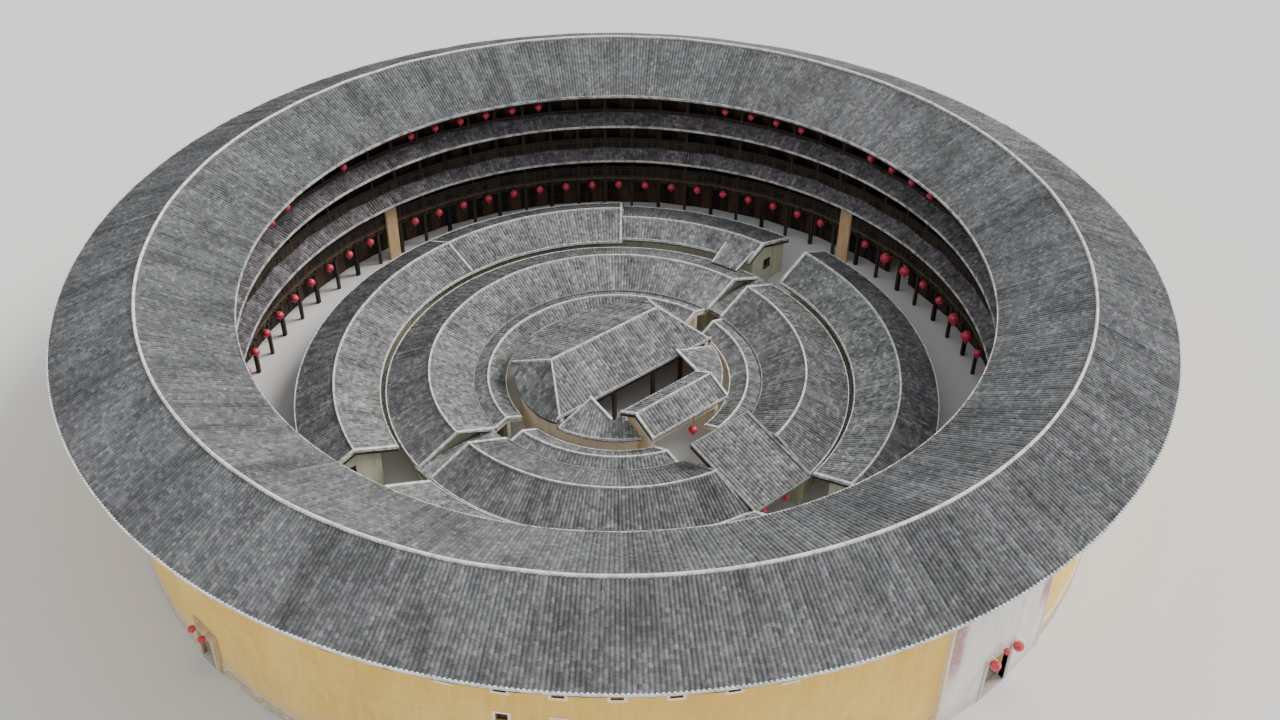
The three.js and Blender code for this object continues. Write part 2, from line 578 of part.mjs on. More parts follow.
function buildFrontHall() {
  const { half, rearY, rearZ, ridgeY, ridgeZ, frontY, frontZ } = FRONT_HALL;
  const d = HALL_ROOF_DEPTH;
  const roof = [
    [frontY, frontZ - d], [ridgeY, ridgeZ - d], [rearY, rearZ - d], [rearY, rearZ], [ridgeY, ridgeZ], [frontY, frontZ],
  ];
  addPiece('front_hall_roof', acrossAxis(roof, -half, half), 'tile');
  const { face, thick, fromY, toY, lintelFrom } = FRONT_WALLS;
  const ridge = { r: ridgeY, z: ridgeZ - d - SEAT };
  const front = slopeAt(ridge, { r: frontY, z: frontZ - d - SEAT }, fromY);
  const rear = slopeAt(ridge, { r: rearY, z: rearZ - d - SEAT }, toY);
  const gable = [[fromY, 0], [toY, 0], [toY, rear], [ridgeY, ridge.z], [fromY, front]];
  const walls = acrossAxis(gable, -face, face);
  const room = box(-face + thick, face - thick, fromY - 1, toY + 1, -1, lintelFrom);
  const above = box(-face + thick, face - thick, fromY + thick, toY + 1, -1, 8);
  addPiece('front_hall_walls', walls.subtract(room).subtract(above), 'gable');
}

buildStoneFoot();
buildEarthWall();
buildGatePanel('main_gate_plaster', MAIN_GATE, MAIN_PANEL);
buildGatePanel('west_gate_plaster', WEST_GATE, SIDE_PANEL);
buildGatePanel('east_gate_plaster', EAST_GATE, SIDE_PANEL);
buildMainRoof();
buildFloors();
for (const storey of ['ground', 'second', 'third', 'fourth']) {
  buildRoomFront(storey);
  buildGalleryFrame(storey);
}
buildPentRoof('pent_roof_upper', UPPER_PENT);
buildPentRoof('pent_roof_lower', LOWER_PENT);
buildBoards();
buildSecondRing();
buildThirdRing();
buildCorridor();
buildGateHall();
buildPassageRoof('passage_roof_west', WEST_WAY_THIRD);
buildPassageRoof('passage_roof_east', EAST_WAY_THIRD);
buildLinkRoof();
buildRearHall();
buildWingRoofs();
buildFrontHall();

export default group;
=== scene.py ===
from math import asin, copysign, cos, degrees, hypot, pi, radians, sin, sqrt, tan

import bpy
import numpy as np
from mathutils import Matrix, Vector


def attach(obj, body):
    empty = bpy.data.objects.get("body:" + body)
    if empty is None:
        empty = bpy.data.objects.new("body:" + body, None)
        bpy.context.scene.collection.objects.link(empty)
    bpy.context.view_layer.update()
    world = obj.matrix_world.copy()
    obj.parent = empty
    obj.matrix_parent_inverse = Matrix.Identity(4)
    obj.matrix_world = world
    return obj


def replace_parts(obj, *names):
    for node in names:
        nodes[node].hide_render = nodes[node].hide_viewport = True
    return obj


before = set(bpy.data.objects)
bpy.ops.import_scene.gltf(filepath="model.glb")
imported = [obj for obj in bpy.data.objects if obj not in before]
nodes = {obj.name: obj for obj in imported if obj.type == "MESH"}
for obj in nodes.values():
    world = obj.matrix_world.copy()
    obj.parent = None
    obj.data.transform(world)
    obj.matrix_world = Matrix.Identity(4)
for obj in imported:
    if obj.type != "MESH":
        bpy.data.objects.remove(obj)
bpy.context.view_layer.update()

# The model is half size: M model metres stand for one metre of the real house. All sizes below
# are real metres. A bearing is an angle in degrees from the main gate (-Y, 0) over +X (90).
M = 0.5
rng = np.random.default_rng(7)

# Great ring. The CAD rings have flat sides, with their first corner half a bay from the gate, and
# MIDDLES holds the bearings of the sides' middles.
BAY = 5.0
BAYS = np.arange(72) * BAY
SIDE = 10.0
MIDDLES = np.arange(36) * SIDE + 7.5
FLAT_BAY = cos(radians(BAY / 2))
FLAT_SIDE = cos(radians(SIDE / 2))
WALL_FOOT_R = 31.5
WALL_TOP_R = 31.4
WALL_TOP_Z = 12.68
STONE_H = 0.9
STONE_FOOT_R = 31.65
MAIN_RIDGE = (28.9, 13.9)
MAIN_OUTER = (33.86, 12.03)
MAIN_INNER = (23.75, 11.4)
MAIN_DEPTH = 0.28
WINDOW_W = 0.62
WINDOW_H = 0.66
FOURTH_WINDOW_Z = 8.75
THIRD_WINDOW_Z = 6.5
THIRD_WINDOW_GROUPS = (45, 135, 225, 315)
FLOORS = (0.0, 3.2, 5.8, 8.4)
FLOOR_DEPTH = 0.2
GALLERY_R = 25.5
FRONT_R = 26.9
PARAPET_H = 0.9
UPPER_PENT = ((25.5, 9.1), (24.3, 8.5))
LOWER_PENT = ((25.5, 5.9), (24.5, 5.3))
PENT_DEPTH = 0.2

# Inner rings: ridge, outer eave and inner eave as (radius, height).
SECOND = {"ridge": (18.75, 4.1), "outer": (21.3, 3.03), "inner": (15.95, 2.92)}
SECOND_LOW = {"ridge": (17.9, 3.85), "outer": (21.1, 2.85), "inner": (16.2, 3.05)}
THIRD = {"ridge": (12.6, 3.8), "outer": (15.45, 2.6), "inner": (9.8, 2.6)}
CORRIDOR = {"ridge": (8.75, 2.8), "outer": (9.78, 2.45), "inner": (7.65, 2.3)}
STEP_BEARING = 139.0
SEAM_BEARING = 183.0
LINK_FROM, LINK_TO = 103.0, 111.0
LINK_HIGH = (17.0, 3.55)
LINK_LOW = (14.6, 3.08)

# Passages: bearing, half width, how far the middle lies aside.
MAIN_SECOND = (0.0, 2.5, 0.0)
WEST_SECOND = (267.0, 1.9, 0.0)
EAST_SECOND = (96.8, 1.55, 0.0)
MAIN_THIRD = (0.0, 2.5, 0.0)
WEST_THIRD = (270.0, 0.9, 0.0)
EAST_THIRD = (95.0, 0.9, 0.0)
MAIN_CORRIDOR = (0.0, 1.9, -0.9)
WEST_CORRIDOR = (270.5, 0.75, 0.0)
EAST_CORRIDOR = (95.0, 0.75, 0.0)
PASSAGE_ENDS = (9.9, 15.7)
PASSAGE_TOP = 2.5

# Hall in the middle.
HALL_EAVE_R = 7.05
HALL_REACH = 7.1
REAR_FRONT = (-1.95, 3.5)
REAR_RIDGE = (1.3, 5.2)
REAR_BACK = (7.1, 2.75)
REAR_FRONT_END = 6.75
REAR_ROWS_Y = REAR_FRONT[0] - 0.06
BACK_HIP_Y = 3.95
HIP_FROM = 4.6
HIP_FALL = 0.9
HIP_ROWS = (-2.0, 7.0)
FRONT_HALF = 3.3
FRONT_REAR = (-4.15, 3.55)
FRONT_RIDGE = (-5.6, 4.3)
FRONT_FRONT = (-7.25, 3.45)
WING_INNER = (3.9, 4.0)
WING_OUTER = (7.05, 2.8)
WING_CORNER = (6.7, -2.1)
WING_END = 73
WELL_WEST = -4.0
WELL_EAST = 3.5
GATE_HALL_HALF = 2.5
GATE_HALL_HIGH = (-9.9, 4.2)
GATE_HALL_LOW = (-15.6, 2.75)
COURT_DEPTH = 0.18

# Gates: bearing, width and height of the doorway. Their plaster stands proud of the wall.
MAIN_GATE = (0.0, 2.0, 3.0)
WEST_GATE = (275.0, 1.5, 2.4)
EAST_GATE = (85.0, 1.5, 2.4)
GATES = (MAIN_GATE, WEST_GATE, EAST_GATE)
PLASTER_PROUD = 0.1
MAIN_PANEL_HALF = 4.5
MAIN_PANEL_H = 8.2

# Tiles: width of a row, length of a course, height of a rib, height above the slab, and reach past
# the slab's eave. Shorter rows than SHORTEST_ROW are left out.
ROW = 0.25
COURSE = 0.22
RIB = 0.055
LIFT = 0.05
OVERHANG = 0.1
SHORTEST_ROW = 0.12


# Meshes.

def added(name, data):
    """A new object in the scene."""
    obj = bpy.data.objects.new(name, data)
    bpy.context.scene.collection.objects.link(obj)
    return obj


class Build:
    """Collects points and four-sided faces, with an optional UV for each point."""

    def __init__(self):
        self.points = []
        self.faces = []
        self.uvs = []
        self.count = 0

    def add(self, points, faces, uvs=None):
        points = np.reshape(points, (-1, 3))
        self.points.append(points)
        self.faces.append(np.reshape(faces, (-1, 4)) + self.count)
        self.uvs.append(np.zeros((len(points), 2)) if uvs is None else np.reshape(uvs, (-1, 2)))
        self.count += len(points)

    def piece(self, name, material, smooth=False):
        points, faces, uvs = map(np.concatenate, (self.points, self.faces, self.uvs))
        mesh = bpy.data.meshes.new(name)
        mesh.from_pydata(points * M, [], faces)
        mesh.uv_layers.new(name="rows").data.foreach_set("uv", uvs[faces.ravel()].ravel())
        mesh.polygons.foreach_set("use_smooth", np.full(len(faces), smooth))
        mesh.validate()
        mesh.materials.append(material)
        obj = added(name, mesh)
        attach(obj, "root")
        return obj


BOX_FACES = [(0, 3, 2, 1), (4, 5, 6, 7), (0, 1, 5, 4), (1, 2, 6, 5), (2, 3, 7, 6), (3, 0, 4, 7)]


def corners(from_u, to_u, from_s, to_s, from_z, to_z):
    flat = [(from_u, from_s), (to_u, from_s), (to_u, to_s), (from_u, to_s)]
    return np.array([(u, s, z) for z in (from_z, to_z) for u, s in flat])


def outward(bearing):
    angle = radians(bearing - 90)
    return cos(angle), sin(angle)


def turned(points, bearing):
    """Points given as (outward, aside, up), set on a bearing."""
    c, s = outward(bearing)
    out, aside, up = np.asarray(points, float).T
    return np.stack([out * c - aside * s, out * s + aside * c, up], 1)


def block(build, bearing, from_r, to_r, side, width, from_z, to_z):
    shape = corners(from_r, to_r, side - width / 2, side + width / 2, from_z, to_z)
    build.add(turned(shape, bearing), BOX_FACES)


def slanted(build, bearing, start, end, width, depth):
    """A beam from start to end, both (radius, height of the top), seen along the bearing."""
    shape = corners(start[0], end[0], -width / 2, width / 2, -depth, 0)
    shape[:, 2] += np.where(shape[:, 0] == start[0], start[1], end[1])
    build.add(turned(shape, bearing), BOX_FACES)


def sweep(build, path, section, closed=False):
    """A section of four (aside, up) points drawn along a path, with its up kept vertical."""
    path, section = np.array(path), np.array(section)
    n, k = len(path), len(section)
    before, after = (path[-1:], path[:1]) if closed else (path[:1], path[-1:])
    padded = np.vstack([before, path, after])
    along = (padded[2:] - padded[:-2])[:, :2]
    along /= np.linalg.norm(along, axis=1)[:, None]
    aside = np.stack([along[:, 1], -along[:, 0], np.zeros(n)], 1)
    points = path[:, None] + section[:, :1] * aside[:, None] + section[:, 1:] * (0, 0, 1)
    faces = []
    for i in range(n if closed else n - 1):
        a, b = i * k, ((i + 1) % n) * k
        faces += [(a + j, a + (j + 1) % k, b + (j + 1) % k, b + j) for j in range(k)]
    if not closed:
        last = (n - 1) * k
        faces += [(0, 3, 2, 1), (last, last + 1, last + 2, last + 3)]
    build.add(points, faces)


def bar(width, low, high):
    """A four-sided section of a width, from a low to a high edge."""
    return [(-width / 2, low), (-width / 2, high), (width / 2, high), (width / 2, low)]


def slope_at(high, low, r):
    return high[1] + (low[1] - high[1]) * (r - high[0]) / (low[0] - high[0])


def place(r, bearing):
    """The x and y of points at a radius and bearing; both may be arrays."""
    angle = np.radians(bearing - 90)
    return r * np.cos(angle), r * np.sin(angle)


def between(low, high):
    """A test for points between two bearings."""
    def inside(x, y):
        bearings = (np.degrees(np.arctan2(y, x)) + 90) % 360
        return (bearings > low) & (bearings < high)
    return inside


def in_ways(x, y, ways):
    """Whether points lie in a passage."""
    hit = np.zeros(np.shape(x), bool)
    for bearing, half, middle in ways:
        c, s = outward(bearing)
        hit |= (x * c + y * s > 0) & (np.abs(y * c - x * s - middle) < half)
    return hit


# The wavy settling of old roofs: a few long waves of a few centimetres, each with a frequency, a
# direction and a phase.
WAVE_LIMITS = ((0.15, 1.1), (0, 2 * pi), (0, 2 * pi))
WAVES = [[rng.uniform(low, high) for low, high in WAVE_LIMITS] for _ in range(10)]


def settle(x, y, amount):
    waves = (np.sin((x * cos(way) + y * sin(way)) * often * 2 + phase) for often, way, phase in WAVES)
    return (sum(waves) / len(WAVES) + 0.5) * amount


# Cross-section of a row: places across it as shares of its width, and heights as shares of the rib.
ACROSS = np.array([-0.5, -0.31, -0.2, 0.0, 0.2, 0.31, 0.5])
UP = np.array([0.0, 0.02, 0.72, 1.0, 0.72, 0.02, 0.0])


def tile_rows(build, tops, lows, top_width, low_width, inside, height, pieces, wave=0.05):
    """Rows of tiles that run down from tops to lows, kept where inside(x, y) holds."""

    def kept(t):
        """Whether the places at these shares of the rows' lengths are inside."""
        return inside(*np.moveaxis(tops[:, None] + t[..., None] * (lows - tops)[:, None], -1, 0))

    def border(held, lost):
        """Where each row stops being inside, between two shares of its length."""
        for _ in range(8):
            middle = (held + lost) / 2
            ok = kept(middle[:, None])[:, 0]
            held, lost = np.where(ok, middle, held), np.where(ok, lost, middle)
        return held

    tries = np.linspace(0, 1, 61)
    held = kept(tries)
    first, last = tries[held.argmax(1)], tries[len(tries) - 1 - held[:, ::-1].argmax(1)]
    start = border(first, np.maximum(first - tries[1], 0))
    end = border(last, np.minimum(last + tries[1], 1))
    lengths = np.linalg.norm(lows - tops, axis=1)
    numbers = np.nonzero(held.any(1) & ((end - start) * lengths > SHORTEST_ROW))[0]
    k = len(ACROSS)
    jitter = rng.normal(0, 0.01, len(tops))
    grid = np.array([(j, j + 1, k + j + 1, k + j) for j in range(k - 1)])
    faces_one = np.concatenate([grid + i * k for i in range(pieces)])
    for i in numbers:
        t = np.linspace(start[i], end[i], pieces + 1)[:, None]
        run = lows[i] - tops[i]
        along = run / lengths[i]
        aside = np.array([-along[1], along[0]])
        middle = tops[i] + t * run
        width = top_width + (low_width - top_width) * t
        x, y = np.moveaxis(middle[:, None] + (ACROSS * width)[..., None] * aside, -1, 0)
        z = height(*middle.T)[:, None] + LIFT + settle(x, y, wave) + UP * (RIB + jitter[i])
        uv = np.stack(np.broadcast_arrays(i + 0.5 + ACROSS, t * lengths[i] / COURSE), -1)
        build.add(np.stack([x, y, z], -1), faces_one, uv)


def row_layout(high, low, over=OVERHANG):
    """The radius where the rows of a ring's slope end, and the rows' bearings."""
    reach = low[0] + copysign(over, low[0] - high[0])
    rows = int(round(2 * pi * max(high[0], reach) / ROW))
    return reach, np.arange(rows) * 360 / rows


def cone_rows(build, high, low, inside, pieces, over=OVERHANG, **more):
    """Rows on one slope of a ring, from its ridge to its eave."""
    reach, bearings = row_layout(high, low, over)
    tops, lows = (np.stack(place(r, bearings), 1) for r in (high[0], reach))
    pitch = 2 * pi / len(bearings)
    height = lambda x, y: slope_at(high, low, np.hypot(x, y))
    tile_rows(build, tops, lows, high[0] * pitch, reach * pitch, inside, height, pieces, **more)


def straight_rows(build, across_from, across_to, along_x, high, low, inside, pieces, **more):
    """Rows on a flat slope. high and low are (place along the slope's axis, height)."""
    n = max(1, int(round((across_to - across_from) / ROW)))
    pitch = (across_to - across_from) / n
    across = across_from + (np.arange(n) + 0.5) * pitch
    ends = []
    for along, _ in (high, low):
        ends.append(np.stack([np.full(n, along), across] if along_x else [across, np.full(n, along)], 1))
    height = lambda x, y: slope_at(high, low, x if along_x else y)
    tile_rows(build, *ends, pitch, pitch, inside, height, pieces, **more)


def anywhere(x, y):
    return np.ones(np.shape(x), bool)


PATH_STEP = 1.25


def ring_path(r, z, from_bearing=0, to_bearing=360, rough=0.0):
    """Points on a ring, about PATH_STEP apart. A whole turn leaves out the last one."""
    turn = to_bearing - from_bearing
    n = max(2, int(round(turn / PATH_STEP)))
    x, y = place(r, from_bearing + turn * np.arange(n + (turn < 360)) / n)
    return np.stack([x, y, z + settle(x, y, rough)], 1)


def side_path(r, z):
    """The corners of a ring with flat sides, as the galleries have."""
    x, y = place(r, MIDDLES - SIDE / 2)
    return np.stack([x, y, np.full(len(x), z)], 1)


# Materials. Some are wrapped round a ring of one of these radii.
WALL_WRAP_R = 31.0
BOARD_WRAP_R = 26.0


class Nodes:
    """A short way to write a node tree."""

    def __init__(self, name):
        self.material = bpy.data.materials.new(name)
        self.material.use_nodes = True
        self.tree = self.material.node_tree
        self.shader = self.tree.nodes["Principled BSDF"]

    def put(self, socket, value):
        if hasattr(value, "is_output"):
            self.tree.links.new(value, socket)
        elif isinstance(value, tuple) and len(value) == 3 and len(socket.default_value) == 4:
            socket.default_value = (*value, 1)
        else:
            socket.default_value = value

    def node(self, kind, inputs=None, **settings):
        """A new node with its settings, and with values or links for its inputs."""
        made = self.tree.nodes.new(kind)
        for key, value in settings.items():
            setattr(made, key, value)
        for key, value in (inputs or {}).items():
            self.put(made.inputs[key], value)
        return made

    def math(self, operation, a, b=0.0):
        return self.node("ShaderNodeMath", {0: a, 1: b}, operation=operation).outputs[0]

    def times(self, product, *others):
        for other in others:
            product = self.math("MULTIPLY", product, other)
        return product

    def mix(self, factor, a, b, blend="MIX"):
        inputs = {0: factor, 6: a, 7: b}
        return self.node("ShaderNodeMix", inputs, data_type="RGBA", blend_type=blend).outputs[2]

    def over(self, tone, colour, mask, amount):
        """A tone with a colour laid over it, as far as the mask and the amount say."""
        return self.mix(self.times(mask, amount), tone, colour)

    def scaled(self, colour, factor, amount):
        """A colour made darker or lighter by a factor, as far as amount says."""
        return self.mix(amount, colour, self.mix(1.0, colour, (factor, factor, factor), "MULTIPLY"))

    def noise(self, vector, scale, detail=4.0, rough=0.55):
        inputs = {"Vector": vector, "Scale": scale, "Detail": detail, "Roughness": rough}
        return self.node("ShaderNodeTexNoise", inputs).outputs["Fac"]

    def ramp(self, value, *stops):
        made = self.node("ShaderNodeValToRGB", {0: value})
        elements = made.color_ramp.elements
        while len(elements) < len(stops):
            elements.new(0.5)
        for element, (position, colour) in zip(elements, stops):
            element.position = position
            element.color = (*colour, 1)
        return made.outputs[0]

    def band(self, value, low, high):
        """0 at low, 1 at high, smooth between."""
        inputs = dict(enumerate((value, low, high, 0.0, 1.0)))
        return self.node("ShaderNodeMapRange", inputs, interpolation_type="SMOOTHSTEP").outputs[0]

    def split(self, vector):
        return self.node("ShaderNodeSeparateXYZ", {0: vector}).outputs

    def join(self, x, y):
        return self.node("ShaderNodeCombineXYZ", {0: x, 1: y}).outputs[0]

    def random(self, value, kind="1D"):
        inputs = {"W" if kind == "1D" else "Vector": value}
        return self.node("ShaderNodeTexWhiteNoise", inputs, noise_dimensions=kind).outputs["Value"]

    def place(self):
        """Object coordinates in real metres."""
        return self.stretch(self.node("ShaderNodeTexCoord").outputs["Object"], (1 / M, 1 / M, 1 / M))

    def around(self, radius):
        """(length along a ring of this radius, height) in real metres."""
        x, y, z = self.split(self.place())
        return self.join(self.times(self.math("ARCTAN2", y, x), radius), z), z

    def stretch(self, vector, scale):
        return self.node("ShaderNodeMapping", {"Vector": vector, "Scale": scale}).outputs[0]

    def bump(self, height, distance, strength=1.0):
        inputs = {"Height": height, "Distance": distance * M, "Strength": strength}
        return self.node("ShaderNodeBump", inputs).outputs[0]

    def done(self, colour, rough=0.9, normal=None, specular=0.3):
        inputs = {"Base Color": colour, "Roughness": rough, "Specular IOR Level": specular}
        if normal is not None:
            inputs["Normal"] = normal
        for key, value in inputs.items():
            self.put(self.shader.inputs[key], value)
        return self.material


def tile_material(name, tone, contrast=1.0):
    """Rows of curved tiles, each tile with its own tone, weathered in patches and streaks, with darker
    rib channels (dirt and painted shade) and a painted shadow at each course's overlap.
    """
    n = Nodes(name)
    u, v, _ = n.split(n.node("ShaderNodeUVMap", uv_map="rows").outputs[0])
    row = n.math("FLOOR", u)
    course_place = n.math("ADD", v, n.random(row))
    course = n.math("FLOOR", course_place)
    each = n.random(n.join(row, course), "2D")
    steps = ((0.0, -0.3), (0.5, 0.0), (0.88, 0.2), (1.0, 0.5))
    colour = n.ramp(each, *[(at, tuple(c * (1 + step * contrast) for c in tone)) for at, step in steps])
    where = n.place()
    runs = n.noise(n.join(n.times(u, 0.09), n.times(v, 0.03)), 1.0, 4.0, 0.7)
    in_row = n.math("ABSOLUTE", n.math("SUBTRACT", n.math("FRACT", u), 0.5))
    in_course = n.math("FRACT", course_place)
    grain = n.noise(where, 8.0, 4.0, 0.75)
    for factor, mask in (
        (0.82, n.band(n.noise(where, 0.35, 5.0, 0.6), 0.6, 0.4)),
        (1.2, n.band(n.noise(where, 1.6, 3.0, 0.6), 0.5, 0.7)),
        (0.74, n.band(runs, 0.52, 0.4)),
        # darker in the channels between the ribs: partly dirt, partly painted shade
        (0.86, n.band(in_row, 0.26, 0.42)),
        (0.84, n.band(n.random(n.math("ADD", row, 0.3)), 0.3, 0.6)),
        # a painted shadow line where each course overlaps the next
        (0.75, n.band(in_course, 0.16, 0.0)),
        (1.42, n.band(grain, 0.5, 0.68)),
        (0.64, n.band(grain, 0.47, 0.32)),
    ):
        colour = n.scaled(colour, factor, mask)
    shape = n.math("ADD", n.times(in_course, -0.5), n.times(grain, 0.4))
    return n.done(colour, 0.88, n.bump(shape, 0.03, 0.5), 0.25)


def mortar_material(name, dark, light, size):
    n = Nodes(name)
    where = n.place()
    tone = n.mix(n.band(n.noise(where, size, 4.0, 0.7), 0.36, 0.58), dark, light)
    return n.done(tone, 0.92, n.bump(n.noise(where, 9.0), 0.03, 0.5))


def earth_material():
    n = Nodes("rammed_earth_wall")
    flat, height = n.around(WALL_WRAP_R)
    broad = n.noise(n.stretch(flat, (0.35, 0.12, 1)), 1.0, 5.0, 0.6)
    tone = n.ramp(broad, (0.3, (0.84, 0.5, 0.12)), (0.5, (0.94, 0.6, 0.15)), (0.72, (0.98, 0.7, 0.22)))
    streaks = n.noise(n.stretch(flat, (3.2, 0.16, 1)), 1.0, 4.0, 0.65)
    tone = n.over(tone, (0.97, 0.74, 0.3), n.band(streaks, 0.5, 0.72), 0.4)
    tone = n.over(tone, (0.5, 0.31, 0.11), n.band(streaks, 0.46, 0.3), 0.22)
    lifts = n.noise(n.stretch(flat, (0.25, 2.6, 1)), 1.0, 3.0, 0.6)
    tone = n.over(tone, (0.6, 0.39, 0.14), n.band(lifts, 0.5, 0.7), 0.2)
    tone = n.over(tone, (0.88, 0.68, 0.38), n.band(height, 3.2, 0.9), 0.4)
    spots = n.noise(n.stretch(flat, (1.3, 0.8, 1)), 1.0, 5.0, 0.7)
    # darker in patches towards the top of the wall, under the eave
    darker_near_top = n.times(n.band(height, 8.2, 11.6), n.band(spots, 0.38, 0.6))
    tone = n.over(tone, (0.62, 0.35, 0.1), darker_near_top, 0.42)
    pale = n.times(n.band(height, 8.0, 5.0), n.band(spots, 0.62, 0.42))
    tone = n.over(tone, (1.0, 0.74, 0.26), pale, 0.35)
    grain = n.noise(n.place(), 14.0, 5.0, 0.7)
    tone = n.over(tone, (0.45, 0.28, 0.11), n.band(grain, 0.58, 0.7), 0.2)
    shape = n.math("ADD", n.times(grain, 0.6), lifts)
    return n.done(tone, 0.96, n.bump(shape, 0.05, 0.6), 0.15)


def stone_material():
    n = Nodes("rubble_stone")
    flat, height = n.around(WALL_WRAP_R)
    inputs = {"Vector": n.stretch(flat, (1.9, 3.0, 1)), "Scale": 1.0}
    cells = n.node("ShaderNodeTexVoronoi", inputs, feature="DISTANCE_TO_EDGE")
    tones = n.node("ShaderNodeTexVoronoi", inputs, feature="F1")
    each = n.node("ShaderNodeSeparateColor", {0: tones.outputs["Color"]})
    stops = (0.0, (0.58, 0.46, 0.32)), (0.5, (0.68, 0.56, 0.4)), (1.0, (0.78, 0.66, 0.5))
    tone = n.ramp(each.outputs[0], *stops)
    joint = n.band(cells.outputs["Distance"], 0.09, 0.02)
    tone = n.over(tone, (0.42, 0.33, 0.22), joint, 0.5)
    tone = n.over(tone, (0.86, 0.76, 0.6), n.band(height, 0.74, 0.84), 0.75)
    return n.done(tone, 0.92, n.bump(n.band(cells.outputs["Distance"], 0.0, 0.14), 0.05, 0.6), 0.2)


def plaster_material(name, base, stain, amount):
    n = Nodes(name)
    where = n.place()
    streaks = n.noise(n.stretch(where, (1.4, 1.4, 0.25)), 1.0, 5.0, 0.65)
    tone = n.over(base, stain, n.band(streaks, 0.45, 0.72), amount)
    spots = n.noise(where, 5.0, 4.0, 0.7)
    tone = n.over(tone, stain, n.band(spots, 0.56, 0.68), amount * 0.7)
    return n.done(tone, 0.9, n.bump(spots, 0.015, 0.5), 0.2)


def gate_material():
    """White plaster with a faded reddish band down each side, weaker towards the ground."""
    n = Nodes("gate_lime_plaster")
    where = n.place()
    x, _, z = n.split(where)
    streaks = n.noise(n.stretch(where, (1.6, 1.6, 0.22)), 1.0, 5.0, 0.65)
    tone = n.over((0.84, 0.81, 0.76), (0.64, 0.59, 0.54), n.band(streaks, 0.42, 0.7), 0.6)
    aside = n.math("ABSOLUTE", x)
    worn = n.band(n.noise(where, 2.4, 4.0, 0.7), 0.1, 0.5)
    border = n.times(n.band(aside, 3.15, 3.7), n.band(aside, 4.4, 4.25), n.band(z, 2.7, 5.2), worn)
    tone = n.over(tone, (0.42, 0.2, 0.2), border, 0.85)
    tone = n.over(tone, (0.5, 0.46, 0.38), n.band(z, 1.6, 0.2), 0.45)
    return n.done(tone, 0.9, n.bump(n.noise(where, 5.0), 0.015, 0.5), 0.2)


def timber_material(name, dark, light, plank):
    """Boards that stand side by side round a ring, with grooved gaps between them painted near-black as
    shade.
    """
    n = Nodes(name)
    flat, _ = n.around(BOARD_WRAP_R)
    place_in = n.math("DIVIDE", n.split(flat)[0], plank)
    grain = n.noise(n.stretch(flat, (14.0, 1.2, 1)), 1.0, 4.0, 0.65)
    each = n.random(n.math("FLOOR", place_in))
    mixed = n.math("ADD", n.times(each, 0.5), n.times(grain, 0.5))
    tone = n.mix(n.band(mixed, 0.25, 0.75), dark, light)
    gap_and_shade = n.band(n.math("ABSOLUTE", n.math("SUBTRACT", n.math("FRACT", place_in), 0.5)), 0.44, 0.49)
    # the gaps are painted near-black as shade
    tone = n.mix(gap_and_shade, tone, (0.008, 0.006, 0.005))
    shape = n.math("SUBTRACT", n.times(grain, 0.4), gap_and_shade)
    return n.done(tone, 0.75, n.bump(shape, 0.02, 0.6), 0.3)


def plain_wood(name, dark, light):
    n = Nodes(name)
    grain = n.noise(n.stretch(n.place(), (9.0, 9.0, 0.9)), 1.0, 4.0, 0.65)
    tone = n.mix(n.band(grain, 0.32, 0.68), dark, light)
    return n.done(tone, 0.75, n.bump(grain, 0.01, 0.5), 0.3)


def plain_material(name, low, high, rough, specular=0.3):
    n = Nodes(name)
    grain = n.noise(n.place(), 6.0)
    return n.done(n.mix(n.band(grain, 0.4, 0.62), low, high), rough, n.bump(grain, 0.008, 0.4), specular)


outer_tile = tile_material("tile_outer", (0.168, 0.169, 0.172))
inner_tile = tile_material("tile_inner", (0.18, 0.182, 0.184))
court_tile = tile_material("tile_court", (0.262, 0.263, 0.258), 1.3)
# A darker copy of the court tiles, painted shade, for the second and third rings' outer slopes and the
# front half of the third ring's inner slope.
shade_tile = tile_material("tile_court_painted_shade", (0.19, 0.189, 0.188), 1.2)
corridor_tile = tile_material("tile_corridor", (0.22, 0.221, 0.218), 1.2)
pent_tile = tile_material("tile_pent", (0.18, 0.165, 0.17), 1.4)
mortar = mortar_material("weathered_mortar", (0.5, 0.5, 0.49), (0.82, 0.82, 0.8), 2.2)
court_mortar = mortar_material("court_mortar", (0.4, 0.4, 0.39), (0.74, 0.74, 0.72), 3.0)
edge_mortar = mortar_material("eave_mortar", (0.36, 0.355, 0.35), (0.78, 0.76, 0.75), 5.0)
dull_mortar = mortar_material("dull_eave_mortar", (0.25, 0.24, 0.24), (0.64, 0.62, 0.61), 1.6)
quiet_mortar = mortar_material("dark_mortar", (0.16, 0.16, 0.16), (0.3, 0.3, 0.29), 3.0)
earth = earth_material()
stone = stone_material()
gate_plaster = gate_material()
door_stone = plain_material("door_stone", (0.5, 0.48, 0.45), (0.58, 0.56, 0.52), 0.85)
cream_plaster = plaster_material("cream_plaster", (0.8, 0.68, 0.48), (0.6, 0.48, 0.3), 0.4)
whitewash = plaster_material("window_whitewash", (1.0, 0.89, 0.72), (0.84, 0.66, 0.44), 0.4)
side_plaster = plaster_material("side_gate_plaster", (0.62, 0.46, 0.26), (0.48, 0.34, 0.17), 0.5)
gable_plaster = plaster_material("gable_plaster", (0.7, 0.68, 0.51), (0.36, 0.34, 0.24), 0.6)
hall_plaster = plaster_material("hall_plaster", (0.96, 0.8, 0.6), (0.72, 0.5, 0.36), 0.6)
gallery_wood = timber_material("gallery_boards", (0.016, 0.012, 0.01), (0.055, 0.04, 0.03), 0.22)
front_wood = timber_material("front_boards", (0.014, 0.009, 0.007), (0.05, 0.032, 0.022), 0.28)
beam_wood = plain_wood("beam_wood", (0.03, 0.021, 0.016), (0.075, 0.052, 0.037))
